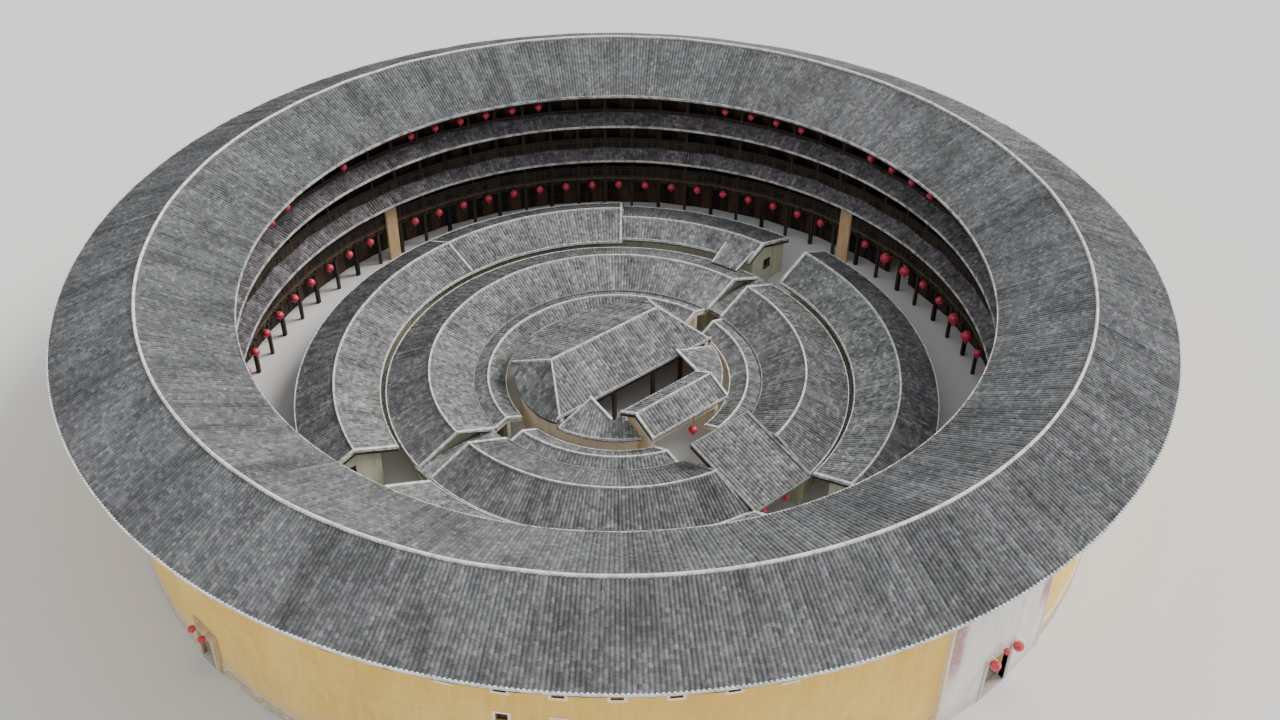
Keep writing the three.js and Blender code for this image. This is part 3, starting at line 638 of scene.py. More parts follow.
door_wood = plain_wood("door_wood", (0.06, 0.03, 0.02), (0.13, 0.07, 0.045))
pale_wood = plain_wood("pale_wood", (0.6, 0.38, 0.19), (0.74, 0.52, 0.3))
floor_wood = plain_wood("floor_wood", (0.07, 0.048, 0.032), (0.14, 0.1, 0.068))
# Near-black sheets painted as the shade inside window openings.
painted_window_shade = plain_material("painted_window_shade", (0.01, 0.009, 0.008), (0.02, 0.018, 0.016), 0.8)
lantern_cloth = plain_material("lantern_cloth", (0.56, 0.02, 0.065), (0.76, 0.06, 0.13), 0.4, 0.6)
lantern_rim = plain_material("lantern_rim", (0.42, 0.14, 0.03), (0.55, 0.22, 0.05), 0.5)


# The first words that a node's name holds give its material.
FINISHES = [
    ("earth_wall", earth), ("stone_foot", stone), ("main_gate_plaster", gate_plaster),
    ("gate_plaster", side_plaster), ("tall_board", pale_wood), ("floor", floor_wood),
    ("gallery_frame", gallery_wood), ("room_front", front_wood), ("passage_roof", quiet_mortar),
    ("ring_walls", gable_plaster), ("corridor", gable_plaster), ("gate_hall_walls", gable_plaster),
    ("hall_wall", hall_plaster), ("", beam_wood),
]
for node_name, node in nodes.items():
    node.data.materials.clear()
    node.data.materials.append(next(material for words, material in FINISHES if words in node_name))


# Roofs of the great ring.

def tile_piece(name, material, slopes, pieces, **more):
    """One piece of tile rows from (high, low, inside) slopes."""
    build = Build()
    for high, low, inside in slopes:
        cone_rows(build, high, low, inside, pieces, **more)
    return build.piece(name, material)


tile_piece("main_tiles_outer", outer_tile, [(MAIN_RIDGE, MAIN_OUTER, anywhere)], 9)
tile_piece("main_tiles_inner", inner_tile, [(MAIN_RIDGE, MAIN_INNER, anywhere)], 9)
tile_piece("pent_tiles_upper", pent_tile, [(*UPPER_PENT, anywhere)], 2, wave=0.03)
tile_piece("pent_tiles_lower", pent_tile, [(*LOWER_PENT, anywhere)], 2, wave=0.03)

MAIN_RIDGE_SECTION = [(-0.1, -0.06), (-0.06, 0.1), (0.06, 0.1), (0.1, -0.06)]
RIDGE_SECTION = [(-0.08, -0.06), (-0.05, 0.09), (0.05, 0.09), (0.08, -0.06)]
VERGE_SECTION = bar(0.16, -0.05, 0.1)
WIDE_VERGE = bar(0.22, -0.1, 0.1)
VERGE_LIFT = 0.09
THIN_EDGE = bar(0.06, -0.09, 0.03)
COURT_EDGE = bar(0.06, -0.14, 0.06)
INNER_EDGE = bar(0.07, -0.14, 0.04)
PENT_EDGE = bar(0.06, -0.13, 0.05)

ridge = Build()
sweep(ridge, ring_path(MAIN_RIDGE[0], MAIN_RIDGE[1] + 0.06, rough=0.06), MAIN_RIDGE_SECTION, closed=True)
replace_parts(ridge.piece("main_ridge", mortar, smooth=True), "main_roof_ridge")

CAP_W = 0.12
CAP_LOW = -0.03
CAP_HIGH = 0.09


def eave_edge(build, high, low, section, rough, caps=False):
    """A strip under the ends of a slope's rows, and caps of mortar on them if asked."""
    r, bearings = row_layout(high, low)
    z = slope_at(high, low, r) + LIFT
    sweep(build, ring_path(r, z, rough=rough), section, closed=True)
    for bearing in bearings if caps else ():
        top = z + float(settle(*place(r, bearing), rough))
        block(build, bearing, r - 0.05, r + 0.04, 0, CAP_W, top + CAP_LOW, top + CAP_HIGH)


outer_eave = Build()
eave_edge(outer_eave, MAIN_RIDGE, MAIN_OUTER, THIN_EDGE, 0.05, caps=True)
outer_eave.piece("outer_eave_edge", mortar)
inner_eaves = Build()
eave_edge(inner_eaves, MAIN_RIDGE, MAIN_INNER, INNER_EDGE, 0.05)
eave_edge(inner_eaves, *UPPER_PENT, PENT_EDGE, 0.03)
eave_edge(inner_eaves, *LOWER_PENT, PENT_EDGE, 0.03)
inner_eaves.piece("inner_eave_edges", dull_mortar)

# Rafters under the eaves of the great ring and under the pent roofs.
RAFTER_W = 0.1
RAFTER_H = 0.14
RAFTER_STEP = BAY / 2
RAFTER_SPANS = [
    (MAIN_RIDGE, MAIN_OUTER, MAIN_DEPTH, WALL_TOP_R, MAIN_OUTER[0] - 0.1),
    (MAIN_RIDGE, MAIN_INNER, MAIN_DEPTH, GALLERY_R, MAIN_INNER[0] + 0.1),
    (*UPPER_PENT, PENT_DEPTH, GALLERY_R * FLAT_SIDE, UPPER_PENT[1][0] + 0.05),
    (*LOWER_PENT, PENT_DEPTH, GALLERY_R * FLAT_SIDE, LOWER_PENT[1][0] + 0.05),
]
rafters = Build()
for high, low, depth, from_r, to_r in RAFTER_SPANS:
    ends = [(r, slope_at(high, low, r) - depth) for r in (from_r, to_r)]
    for bearing in np.arange(RAFTER_STEP / 2, 360, RAFTER_STEP):
        slanted(rafters, bearing, *ends, RAFTER_W, RAFTER_H)
rafters.piece("rafters", beam_wood)

# Galleries: a post between each two of the solid frame's, rails, battens and joist ends.
FACE = GALLERY_R * FLAT_SIDE
RAIL_SECTION = bar(0.2, -0.05, 0.05)
BATTEN_SECTION = bar(0.06, -0.06, 0.06)
BATTENS = (0.12, 0.72)
POST_W = 0.2
JOIST = 0.13
ceilings = [floor - FLOOR_DEPTH for floor in FLOORS[1:]]
ceilings.append(slope_at(MAIN_RIDGE, MAIN_INNER, FACE) - MAIN_DEPTH)

posts = Build()
for floor, ceiling in zip(FLOORS, ceilings):
    for middle in MIDDLES:
        block(posts, middle, FACE - 0.02, FACE + POST_W, 0, POST_W, floor, ceiling - 0.02)
    if floor > 0:
        sweep(posts, side_path(GALLERY_R + 0.08, floor + PARAPET_H + 0.05), RAIL_SECTION, closed=True)
        for height in BATTENS:
            sweep(posts, side_path(GALLERY_R - 0.01, floor + height), BATTEN_SECTION, closed=True)
        top = floor - FLOOR_DEPTH
        for bearing in np.arange(0, 360, RAFTER_STEP):
            block(posts, bearing, FACE - 0.16, FACE + 0.1, 0, JOIST, top - JOIST, top)
posts.piece("gallery_posts_and_rails", beam_wood)

# A door and a barred window for each room, left out at the gates' passages.
ROOM_FACE = FRONT_R * FLAT_SIDE
BAY_ASIDE = ROOM_FACE * tan(radians(BAY / 2))
DOOR_W = 0.85
DOOR_H = 1.9
DOOR_ASIDE = -0.52
ROOM_WINDOW_W = 0.8
ROOM_WINDOW_ASIDE = 0.5
ROOM_WINDOW_FROM = 1.0
ROOM_WINDOW_TO = 1.75
TRIM = 0.07
gate_bays = [gate[0] for gate in GATES]
doors = Build()
trims = Build()
shade_sheets = Build()


def bars(build, bearing, from_r, to_r, side, width, count, thick, low, high):
    """Upright bars spread evenly over a width."""
    for k in range(1, count + 1):
        block(build, bearing, from_r, to_r, side + (k / (count + 1) - 0.5) * width, thick, low, high)


def framed(leaf, proud, bearing, side, width, low, high):
    """A door or window on the court side of a room front, with four strips round it."""
    block(leaf, bearing, ROOM_FACE - proud, ROOM_FACE + 0.01, side, width, low, high)
    strip = (trims, bearing, ROOM_FACE - 0.05, ROOM_FACE + 0.01)
    for edge in (-1, 1):
        block(*strip, side + edge * (width + TRIM) / 2, TRIM, low, high)
    block(*strip, side, width + 2 * TRIM, high, high + TRIM)
    block(*strip, side, width + 2 * TRIM, low - TRIM, low)


for floor in FLOORS:
    sill = floor + TRIM + 0.03
    low, high = floor + ROOM_WINDOW_FROM, floor + ROOM_WINDOW_TO
    for middle in MIDDLES:
        for half in (-1, 1):
            if floor == 0 and (middle + half * BAY / 2) % 360 in gate_bays:
                continue
            aside = half * BAY_ASIDE + DOOR_ASIDE
            framed(doors, 0.03, middle, aside, DOOR_W, sill, sill + DOOR_H)
            aside = half * BAY_ASIDE + ROOM_WINDOW_ASIDE
            # the window is a near-black sheet: painted shade of the dark room behind
            framed(shade_sheets, 0.015, middle, aside, ROOM_WINDOW_W, low, high)
            ends = (ROOM_FACE - 0.04, ROOM_FACE - 0.01)
            bars(trims, middle, *ends, aside, ROOM_WINDOW_W, 5, 0.03, low, high)
doors.piece("room_doors", door_wood)
trims.piece("room_trims_and_bars", beam_wood)
shade_sheets.piece("room_window_shade_sheets", painted_window_shade)

# Windows of the outer wall: pale surrounds, wooden frames and bars.


def wall_face(z):
    """How far out the wall's face is in the middle of a bay."""
    share = (z - STONE_H) / (WALL_TOP_Z - STONE_H)
    return (WALL_FOOT_R + (WALL_TOP_R - WALL_FOOT_R) * share) * FLAT_BAY


SURROUND = 0.15
FRAME = 0.06
surrounds = Build()
window_bars = Build()


def window(bearing, z):
    """The pale surround, the wooden frame and the bars of one window."""
    face = wall_face(z)
    low, high = z - WINDOW_H / 2, z + WINDOW_H / 2
    clear = WINDOW_W - 2 * FRAME
    pale = (surrounds, bearing, face - 0.06, face + 0.035)
    wood = (window_bars, bearing, face - 0.24, face - 0.14)
    for edge in (-1, 1):
        block(*pale, edge * (WINDOW_W + SURROUND) / 2, SURROUND, low - SURROUND, high + SURROUND)
        block(*wood, edge * (WINDOW_W - FRAME) / 2, FRAME, low, high)
    for ends in ((low - SURROUND, low), (high, high + SURROUND)):
        block(*pale, 0, WINDOW_W, *ends)
    for ends in ((low, low + FRAME), (high - FRAME, high), (z - 0.02, z + 0.02)):
        block(*wood, 0, clear, *ends)
    bars(window_bars, bearing, face - 0.21, face - 0.17, 0, clear, 4, 0.035, low + FRAME, high - FRAME)


for bearing in BAYS:
    window(bearing, FOURTH_WINDOW_Z)
    if any(abs(bearing - middle) <= BAY for middle in THIRD_WINDOW_GROUPS):
        window(bearing, THIRD_WINDOW_Z)
surrounds.piece("window_surrounds", whitewash)
window_bars.piece("window_bars", door_wood)

# Gates: stone door frames, thresholds, and the pale edges of the plaster round the main gate.
door_frames = Build()
edges = Build()
STONE_FACE = STONE_FOOT_R * FLAT_BAY
MAIN_FRAME_W = 0.26
SIDE_FRAME_W = 0.14
for bearing, width, height in GATES:
    frame_w = MAIN_FRAME_W if bearing == 0 else SIDE_FRAME_W
    outer = STONE_FACE + PLASTER_PROUD + 0.04
    strip = (door_frames if bearing == 0 else edges, bearing, outer - 0.35, outer)
    for edge in (-1, 1):
        block(*strip, edge * (width + frame_w) / 2, frame_w, 0, height + frame_w)
    block(*strip, 0, width, height, height + frame_w)
    block(door_frames, bearing, outer - 0.5, outer + 0.02, 0, width, 0, 0.12)
door_frames.piece("door_frames", door_stone)

for edge in (-1, 1):
    aside = edge * (MAIN_PANEL_HALF - 0.06)
    low_out = sqrt((STONE_FOOT_R + PLASTER_PROUD) ** 2 - aside ** 2)
    high_out = sqrt((wall_face(MAIN_PANEL_H) / FLAT_BAY + PLASTER_PROUD) ** 2 - aside ** 2)
    shape = corners(-0.4, 0.035, aside - 0.12, aside + 0.12, 0, MAIN_PANEL_H)
    shape[:, 0] += np.where(shape[:, 2] == 0, low_out, high_out)
    edges.add(turned(shape, 0), BOX_FACES)
edges.piece("gate_plaster_edges", cream_plaster)

# Roofs of the inner rings, with the passages left open.

second_ways = [MAIN_SECOND, WEST_SECOND, EAST_SECOND]
corridor_ways = [MAIN_CORRIDOR, WEST_CORRIDOR, EAST_CORRIDOR]
# The third ring's tiles hang over its side passages.
WEST_THIRD_ROOF = (WEST_THIRD[0], 0.55, 0.0)
EAST_THIRD_ROOF = (EAST_THIRD[0], 0.55, 0.0)
third_roof_ways = [MAIN_THIRD, WEST_THIRD_ROOF, EAST_THIRD_ROOF]
in_step = between(EAST_SECOND[0], STEP_BEARING)
in_rear = between(EAST_THIRD[0], WEST_THIRD[0])


def ring_part(ways, extra=anywhere):
    """A test for the part of a ring outside its passages, as far as an extra test allows."""
    return lambda x, y: ~in_ways(x, y, ways) & extra(x, y)


second_part = ring_part(second_ways, lambda x, y: ~in_step(x, y))
step_part = ring_part(second_ways, in_step)
third_part = ring_part(third_roof_ways)
third_rear = ring_part(third_roof_ways, in_rear)
third_front = ring_part(third_roof_ways, lambda x, y: ~in_rear(x, y))
corridor_part = ring_part(corridor_ways)

# Outer slopes take the darker tiles with painted shade, inner slopes the court tiles.
for side, tile in (("outer", shade_tile), ("inner", court_tile)):
    tile_piece(f"second_tiles_{side}", tile, [
        (SECOND["ridge"], SECOND[side], second_part),
        (SECOND_LOW["ridge"], SECOND_LOW[side], step_part),
    ], 5)
    slopes = [(CORRIDOR["ridge"], CORRIDOR[side], corridor_part)]
    tile_piece(f"corridor_tiles_{side}", corridor_tile, slopes, 2, over=0.04)
tile_piece("third_tiles_outer", shade_tile, [(THIRD["ridge"], THIRD["outer"], third_part)], 5)
tile_piece("third_tiles_inner_rear", court_tile, [(THIRD["ridge"], THIRD["inner"], third_rear)], 5)
# The front half of the third ring's inner slope takes the darker tiles with painted shade.
tile_piece("third_tiles_inner_front", shade_tile, [(THIRD["ridge"], THIRD["inner"], third_front)], 5)
tile_piece("link_tiles", court_tile, [(LINK_HIGH, LINK_LOW, between(LINK_FROM, LINK_TO))], 3, over=0.0)


def arc_between(build, r, z, start_way, end_way, section, rough=0.04):
    """A band on a ring from one passage or bearing round to the next."""
    def edge(way, sign):
        if isinstance(way, float):
            return way
        bearing, half, aside = way
        return bearing + sign * degrees(asin((half + sign * aside) / r))
    from_bearing, to_bearing = edge(start_way, 1), edge(end_way, -1)
    if to_bearing < from_bearing:
        to_bearing += 360
    sweep(build, ring_path(r, z, from_bearing, to_bearing, rough=rough), section)


SPANS = [
    (SECOND, MAIN_SECOND, EAST_SECOND), (SECOND_LOW, EAST_SECOND, STEP_BEARING),
    (SECOND, STEP_BEARING, WEST_SECOND), (SECOND, WEST_SECOND, MAIN_SECOND),
    (THIRD, MAIN_THIRD, EAST_THIRD_ROOF), (THIRD, EAST_THIRD_ROOF, WEST_THIRD_ROOF),
    (THIRD, WEST_THIRD_ROOF, MAIN_THIRD),
    (CORRIDOR, MAIN_CORRIDOR, EAST_CORRIDOR), (CORRIDOR, EAST_CORRIDOR, WEST_CORRIDOR),
    (CORRIDOR, WEST_CORRIDOR, MAIN_CORRIDOR),
]
ridges = Build()
court_edges = Build()
quiet_edges = Build()
for roof, start, end in SPANS:
    arc_between(ridges, roof["ridge"][0], roof["ridge"][1] + 0.07, start, end, RIDGE_SECTION)
    for side, sign in (("outer", 1), ("inner", -1)):
        r, z = roof[side]
        quiet = (roof is THIRD and side == "inner") or (roof is CORRIDOR and side == "outer")
        build = quiet_edges if quiet else court_edges
        arc_between(build, r + sign * 0.07, z + LIFT, start, end, COURT_EDGE, rough=0.03)


def verges(build, roof, way, section=VERGE_SECTION, signs=(1, -1)):
    """The pale edges of a roof along the sides of a passage."""
    bearing, half, middle = way
    for sign in signs:
        aside = middle + sign * (half + 0.1)
        for side in ("outer", "inner"):
            radii = np.linspace(roof["ridge"][0], roof[side][0], 4)
            out = np.sqrt(radii ** 2 - aside ** 2)
            heights = slope_at(roof["ridge"], roof[side], radii) + VERGE_LIFT
            sweep(build, turned(np.stack([out, np.full(4, aside), heights], 1), bearing), section)


for way in (MAIN_SECOND, WEST_SECOND):
    verges(ridges, SECOND, way, WIDE_VERGE)
verges(ridges, SECOND, EAST_SECOND, WIDE_VERGE, (-1,))
verges(ridges, SECOND_LOW, EAST_SECOND, WIDE_VERGE, (1,))
for way, build in zip(third_roof_ways, (quiet_edges, ridges, ridges)):
    verges(build, THIRD, way)
for way in corridor_ways:
    verges(ridges, CORRIDOR, way)


def seam(bearing, high, low, section, lift):
    """A pale strip down a slope of a ring on a bearing."""
    sweep(ridges, [(*place(r, bearing), z + lift) for r, z in (high, low)], section)


SEAM_SECTION = bar(0.12, 0.0, 0.08)
for side in ("outer", "inner"):
    seam(STEP_BEARING + 0.4, SECOND["ridge"], SECOND[side], VERGE_SECTION, VERGE_LIFT)
    seam(SEAM_BEARING, SECOND["ridge"], SECOND[side], SEAM_SECTION, VERGE_LIFT)
for bearing in (LINK_FROM, LINK_TO):
    seam(bearing, LINK_HIGH, LINK_LOW, SEAM_SECTION, 0.06)

# Frames of the two gable windows beside the second ring's side passages, and near-black sheets
# painted as the shade inside them, given as (passage, its side, radius, height).
GABLE_WINDOWS = ((EAST_SECOND, 1, 18.7, 1.7), (WEST_SECOND, -1, 19.0, 2.4))
GABLE_WALL = 0.3
GABLE_WINDOW_W = 0.5
GABLE_WINDOW_H = 0.6
GABLE_FRAME = 0.13
gable_frames = Build()
gable_shade_sheets = Build()
for (bearing, half, _), sign, r, z in GABLE_WINDOWS:
    face = half + GABLE_WALL
    from_r, to_r = r - GABLE_WINDOW_W / 2, r + GABLE_WINDOW_W / 2
    low, high = z - GABLE_WINDOW_H / 2, z + GABLE_WINDOW_H / 2
    for strip in (
        (from_r - GABLE_FRAME, from_r, low - GABLE_FRAME, high + GABLE_FRAME),
        (to_r, to_r + GABLE_FRAME, low - GABLE_FRAME, high + GABLE_FRAME),
        (from_r, to_r, low - GABLE_FRAME, low), (from_r, to_r, high, high + GABLE_FRAME),
    ):
        block(gable_frames, bearing, *strip[:2], sign * (face + 0.01), 0.08, *strip[2:])
    block(gable_shade_sheets, bearing, from_r, to_r, sign * (face + 0.1), 0.04, low, high)
gable_frames.piece("gable_window_frames", beam_wood)
gable_shade_sheets.piece("gable_window_shade_sheets", painted_window_shade)

# Tiles on the flat roofs over the side passages of the third ring.
passage = Build()
for bearing, half, middle in (WEST_THIRD, EAST_THIRD):
    count = round(2 * half / ROW)
    asides = ((np.arange(count) + 0.5) / count * 2 - 1) * half
    ends = [turned([(r, aside, 0) for aside in asides], bearing)[:, :2] for r in PASSAGE_ENDS]
    height = lambda x, y: np.full(np.shape(x), PASSAGE_TOP + 0.08)
    tile_rows(passage, *ends, 2 * half / count, 2 * half / count, anywhere, height, 3)
passage.piece("passage_tiles", court_tile)

# Gate hall: one slope towards the gate, with verges on both sides and an edge at the top.
hall = Build()
straight_rows(hall, -GATE_HALL_HALF, GATE_HALL_HALF, False, GATE_HALL_HIGH, GATE_HALL_LOW, anywhere, 6)
hall.piece("gate_hall_tiles", court_tile)


def line_between(build, start, end, section, lift=0.1):
    """A strip on a roof between two points given as (x, y, z of the slab)."""
    sweep(build, np.linspace(start, end, 5) + (0, 0, lift), section)


def across(build, half, end, section, lift):
    """A strip across a hall, from side to side, at an end given as (y, z of the slab)."""
    line_between(build, (-half, *end), (half, *end), section, lift)


def down_sides(build, half, high, low):
    """The pale edges of a hall's slope, down both of its sides."""
    for x in (-half, half):
        line_between(build, (x, *high), (x, *low), VERGE_SECTION)


down_sides(quiet_edges, GATE_HALL_HALF - 0.1, GATE_HALL_HIGH, GATE_HALL_LOW)
across(quiet_edges, GATE_HALL_HALF, GATE_HALL_HIGH, RIDGE_SECTION, 0.06)
across(quiet_edges, GATE_HALL_HALF, (GATE_HALL_LOW[0] - 0.02, GATE_HALL_LOW[1]), COURT_EDGE, LIFT)

# Hall roofs.


def rear_part(number):
    """A test for the part of the rear hall where the slope of this number is the lowest."""
    def inside(x, y):
        hip = REAR_RIDGE[1] - HIP_FALL * (np.abs(x) - HIP_FROM)
        heights = np.stack([slope_at(REAR_RIDGE, REAR_FRONT, y), slope_at(REAR_RIDGE, REAR_BACK, y), hip])
        under = (np.hypot(x, y) < HALL_EAVE_R + 0.05) & (y > REAR_ROWS_Y)
        return under & (heights[number] <= heights.min(0) + 1e-9)
    return inside


rear = Build()
rear_low = (REAR_ROWS_Y, slope_at(REAR_RIDGE, REAR_FRONT, REAR_ROWS_Y))
straight_rows(rear, -HALL_REACH, HALL_REACH, False, REAR_RIDGE, rear_low, rear_part(0), 5)
straight_rows(rear, -HALL_REACH, HALL_REACH, False, REAR_RIDGE, REAR_BACK, rear_part(1), 6)
for sign in (-1, 1):
    high = (sign * HIP_FROM, REAR_RIDGE[1])
    low = (sign * HALL_REACH, REAR_RIDGE[1] - HIP_FALL * (HALL_REACH - HIP_FROM))
    straight_rows(rear, *HIP_ROWS, True, high, low, rear_part(2), 5)
rear.piece("rear_hall_tiles", court_tile)

# The hips run from the ridge's ends to the front eave and, behind, to the round eave.
BACK_FALL = (REAR_RIDGE[1] - REAR_BACK[1]) / (REAR_BACK[0] - REAR_RIDGE[0])
front_hip_x = HIP_FROM + (REAR_RIDGE[1] - REAR_FRONT[1]) / HIP_FALL
back_hip_z = REAR_RIDGE[1] - BACK_FALL * (BACK_HIP_Y - REAR_RIDGE[0])
back_hip_x = HIP_FROM + (REAR_RIDGE[1] - back_hip_z) / HIP_FALL
across(ridges, HIP_FROM, REAR_RIDGE, RIDGE_SECTION, 0.08)
for sign in (-1, 1):
    top = (sign * HIP_FROM, *REAR_RIDGE)
    line_between(ridges, top, (sign * front_hip_x, *REAR_FRONT), RIDGE_SECTION, 0.07)
    line_between(ridges, top, (sign * back_hip_x, BACK_HIP_Y, back_hip_z), RIDGE_SECTION, 0.07)
    line_between(court_edges, (0, *REAR_FRONT), (sign * REAR_FRONT_END, *REAR_FRONT), COURT_EDGE, LIFT)

front = Build()
for low in (FRONT_REAR, FRONT_FRONT):
    straight_rows(front, -FRONT_HALF, FRONT_HALF, False, FRONT_RIDGE, low, anywhere, 4)
    down_sides(ridges, FRONT_HALF - 0.08, FRONT_RIDGE, low)
    across(court_edges, FRONT_HALF, low, COURT_EDGE, LIFT)
front.piece("front_hall_tiles", court_tile)
across(ridges, FRONT_HALF, FRONT_RIDGE, RIDGE_SECTION, 0.08)


def wing_part(x, y):
    in_well = (x > WELL_WEST) & (x < WELL_EAST) & (y > FRONT_REAR[0] - 0.1)
    in_front = (np.abs(x) < FRONT_HALF) & (y < FRONT_REAR[0] + 0.01)
    return (y < REAR_FRONT[0]) & ~in_well & ~in_front


tile_piece("wing_tiles", court_tile, [(WING_INNER, WING_OUTER, wing_part)], 4, over=0.04)


def wing_point(x, y):
    return (x, y, slope_at(WING_INNER, WING_OUTER, hypot(x, y)))


for sign, well in ((-1, WELL_WEST), (1, WELL_EAST)):
    line_between(ridges, wing_point(well, REAR_FRONT[0]), wing_point(well, FRONT_REAR[0]), VERGE_SECTION)
    top = wing_point(well, REAR_FRONT[0] - 0.1)
    corner = wing_point(sign * WING_CORNER[0], WING_CORNER[1])
    line_between(ridges, top, corner, RIDGE_SECTION, 0.06)
    start_bearing = degrees(asin(FRONT_HALF / HALL_EAVE_R))
    bearings = sorted(sign * bearing % 360 for bearing in (start_bearing, WING_END))
    path = ring_path(HALL_EAVE_R, WING_OUTER[1] + LIFT, *bearings, rough=0.03)
    sweep(court_edges, path, COURT_EDGE)
ridges.piece("court_ridges", court_mortar)
court_edges.piece("court_eave_edges", edge_mortar)
quiet_edges.piece("dark_court_edges", quiet_mortar)

# Lanterns: red cloth globes with gilt rims, hung on cords from beams and brackets. All but a cord's
# width is given as shares of a lantern's size, which is half its width.
LANTERN_SIDES = 10
LANTERN_ANGLES = 2 * pi * np.arange(LANTERN_SIDES) / LANTERN_SIDES
LANTERN_RINGS = [(0.4, 0.82), (0.78, 0.62), (1.0, 0.22), (1.0, -0.22), (0.78, -0.62), (0.4, -0.82)]
RIM_W = 0.6
RIM_FROM = 0.78
RIM_TO = 0.92
TASSEL_W = 0.2
TASSEL_FROM = 0.9
TASSEL_TO = 1.6
CORD_W = 0.024
lantern_faces = []
for start in range(0, LANTERN_SIDES * (len(LANTERN_RINGS) - 1), LANTERN_SIDES):
    for k in range(LANTERN_SIDES):
        a, b = start + k, start + (k + 1) % LANTERN_SIDES
        lantern_faces.append((a, a + LANTERN_SIDES, b + LANTERN_SIDES, b))
cloth = Build()
rims = Build()
cords = Build()
brackets = Build()


def lantern(bearing, r, side, z, size, hook):
    """A lantern whose middle is at z, on a cord from the height of its hook."""
    points = [
        (r + size * width * cos(angle), side + size * width * sin(angle), z + size * height)
        for width, height in LANTERN_RINGS for angle in LANTERN_ANGLES
    ]
    cloth.add(turned(points, bearing), lantern_faces)

    def part(build, width, low, high):
        block(build, bearing, r - width / 2, r + width / 2, side, width, low, high)

    part(rims, RIM_W * size, z + RIM_FROM * size, z + RIM_TO * size)
    part(rims, RIM_W * size, z - RIM_TO * size, z - RIM_FROM * size)
    part(cloth, TASSEL_W * size, z - TASSEL_TO * size, z - TASSEL_FROM * size)
    part(cords, CORD_W, z + TASSEL_FROM * size, hook)


def bracket(build, bearing, from_r, to_r, side, z):
    block(build, bearing, from_r, to_r, side, 0.04, z, z + 0.04)


WALK_SIZE, LARGE_SIZE, EAVE_SIZE = 0.3, 0.42, 0.27
GATE_SIZES = (0.3, 0.22, 0.22)
WALK_HOOK = FLOORS[1] - 0.08
BOARD_BEARINGS = (95, 185)
LARGE_LANTERNS = (60, 65, 80, 85)
EAVE_LANTERNS = (75, 80, 85, 90, 105, 110, 115, 120, 155, 160, 165, 170, 175, 180, 195, 210, 215)
EAVE_LANTERNS += (10, 15, 20, 25, 265, 280, 325, 330, 345)
EAVE_LANTERN_R = MAIN_INNER[0] + 0.55
EAVE_HOOK = slope_at(MAIN_RIDGE, MAIN_INNER, EAVE_LANTERN_R) - MAIN_DEPTH
for bearing in BAYS:
    if bearing not in BOARD_BEARINGS:
        size = LARGE_SIZE if bearing in LARGE_LANTERNS else WALK_SIZE
        lantern(bearing, FACE - 0.36, 0, WALK_HOOK - 0.12 - size, size, WALK_HOOK)
        bracket(cords, bearing, FACE - 0.4, FACE + 0.05, 0, WALK_HOOK)
    if bearing in EAVE_LANTERNS:
        lantern(bearing, EAVE_LANTERN_R, 0, EAVE_HOOK - 0.85, EAVE_SIZE, EAVE_HOOK)
for (bearing, width, height), size in zip(GATES, GATE_SIZES):
    hook = height + 0.55
    for edge in (-1, 1):
        side = edge * (width / 2 - (0 if bearing == 0 else 0.25))
        out = STONE_FACE + PLASTER_PROUD + size + 0.08
        lantern(bearing, out, side, hook - 1.3 * size, size, hook)
        bracket(brackets, bearing, wall_face(hook) - 0.05, out + 0.03, side, hook)
main_hook = MAIN_GATE[2] + 0.75
lantern(0, STONE_FACE + 0.4, 0, main_hook - 0.3, 0.2, main_hook)
bracket(brackets, 0, wall_face(main_hook) - 0.05, STONE_FACE + 0.45, 0, main_hook)
HALL_LANTERN_R = 15.4
hook = slope_at(GATE_HALL_HIGH, GATE_HALL_LOW, -HALL_LANTERN_R) - COURT_DEPTH
for side in (-1.5, 0.4):
    lantern(0, HALL_LANTERN_R, side, hook - 0.36, EAVE_SIZE, hook)
front_hook = FRONT_FRONT[1] - COURT_DEPTH
lantern(0, -FRONT_FRONT[0] - 0.05, 0.3, 2.2, 0.3, front_hook)
cloth.piece("lantern_globes", lantern_cloth, smooth=True)
rims.piece("lantern_rims", lantern_rim)
cords.piece("lantern_cords", beam_wood)
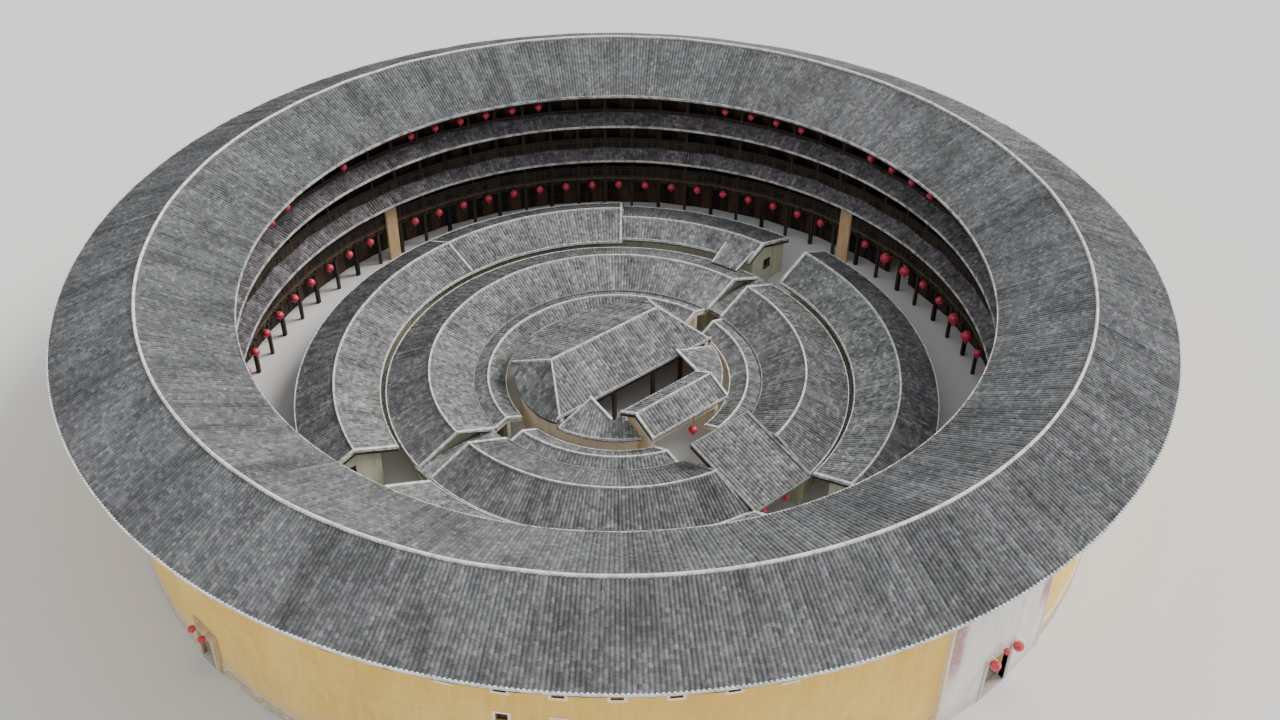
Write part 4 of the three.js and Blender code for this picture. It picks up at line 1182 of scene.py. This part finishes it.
brackets.piece("gate_lantern_brackets", cream_plaster)

# Stage, lights and camera.

floor_mesh = bpy.data.meshes.new("studio_floor")
REACH = 400.0
floor_points = [(x * REACH, y * REACH, 0) for x, y in ((-1, -1), (1, -1), (1, 1), (-1, 1))]
floor_mesh.from_pydata(floor_points, [], [(0, 1, 2, 3)])
floor_mesh.materials.append(Nodes("pale_floor").done((0.74, 0.73, 0.71), 0.95))
studio_floor = added("studio_floor", floor_mesh)
studio_floor.location.z = -0.002

world = bpy.data.worlds.new("studio")
bpy.context.scene.world = world
world.use_nodes = True
sky = world.node_tree.nodes["Background"].inputs
sky["Color"].default_value = (0.93, 0.96, 1.0, 1)
sky["Strength"].default_value = 0.95

sun_data = bpy.data.lights.new("soft_sun", "SUN")
sun_data.energy = 3.7
sun_data.angle = radians(30)
sun_data.color = (1.0, 0.98, 0.95)
SUN_FROM = Vector((0.838, -0.246, 0.8))
added("soft_sun", sun_data).rotation_euler = SUN_FROM.to_track_quat("Z", "Y").to_euler()

# The camera stands over the west of the main gate. Its angles were read in a frame whose Y axis
# points away from it, and that frame is turned by VIEW_TURN to the house's own axes.
CAMERA_PLACE = (0.0, -68.97, 57.57)
VIEW_TURN = radians(-40)
PITCH = radians(37.95)
YAW = radians(1.22)
ROLL = radians(-0.89)
LENS = 36.56

ahead = Vector((sin(YAW) * cos(PITCH), cos(YAW) * cos(PITCH), -sin(PITCH)))
level = ahead.cross(Vector((0, 0, 1))).normalized()
down = ahead.cross(level)
right = cos(ROLL) * level + sin(ROLL) * down
below = -sin(ROLL) * level + cos(ROLL) * down
view = Matrix((right, -below, -ahead)).transposed().to_4x4()
view.translation = Vector(CAMERA_PLACE) * M
camera_data = bpy.data.cameras.new("camera")
camera_data.lens = LENS
camera_data.sensor_width = 36.0
camera_data.sensor_fit = "HORIZONTAL"
camera_data.clip_end = 2000
camera = added("camera", camera_data)
camera.matrix_world = Matrix.Rotation(VIEW_TURN, 4, "Z") @ view
bpy.context.scene.camera = camera
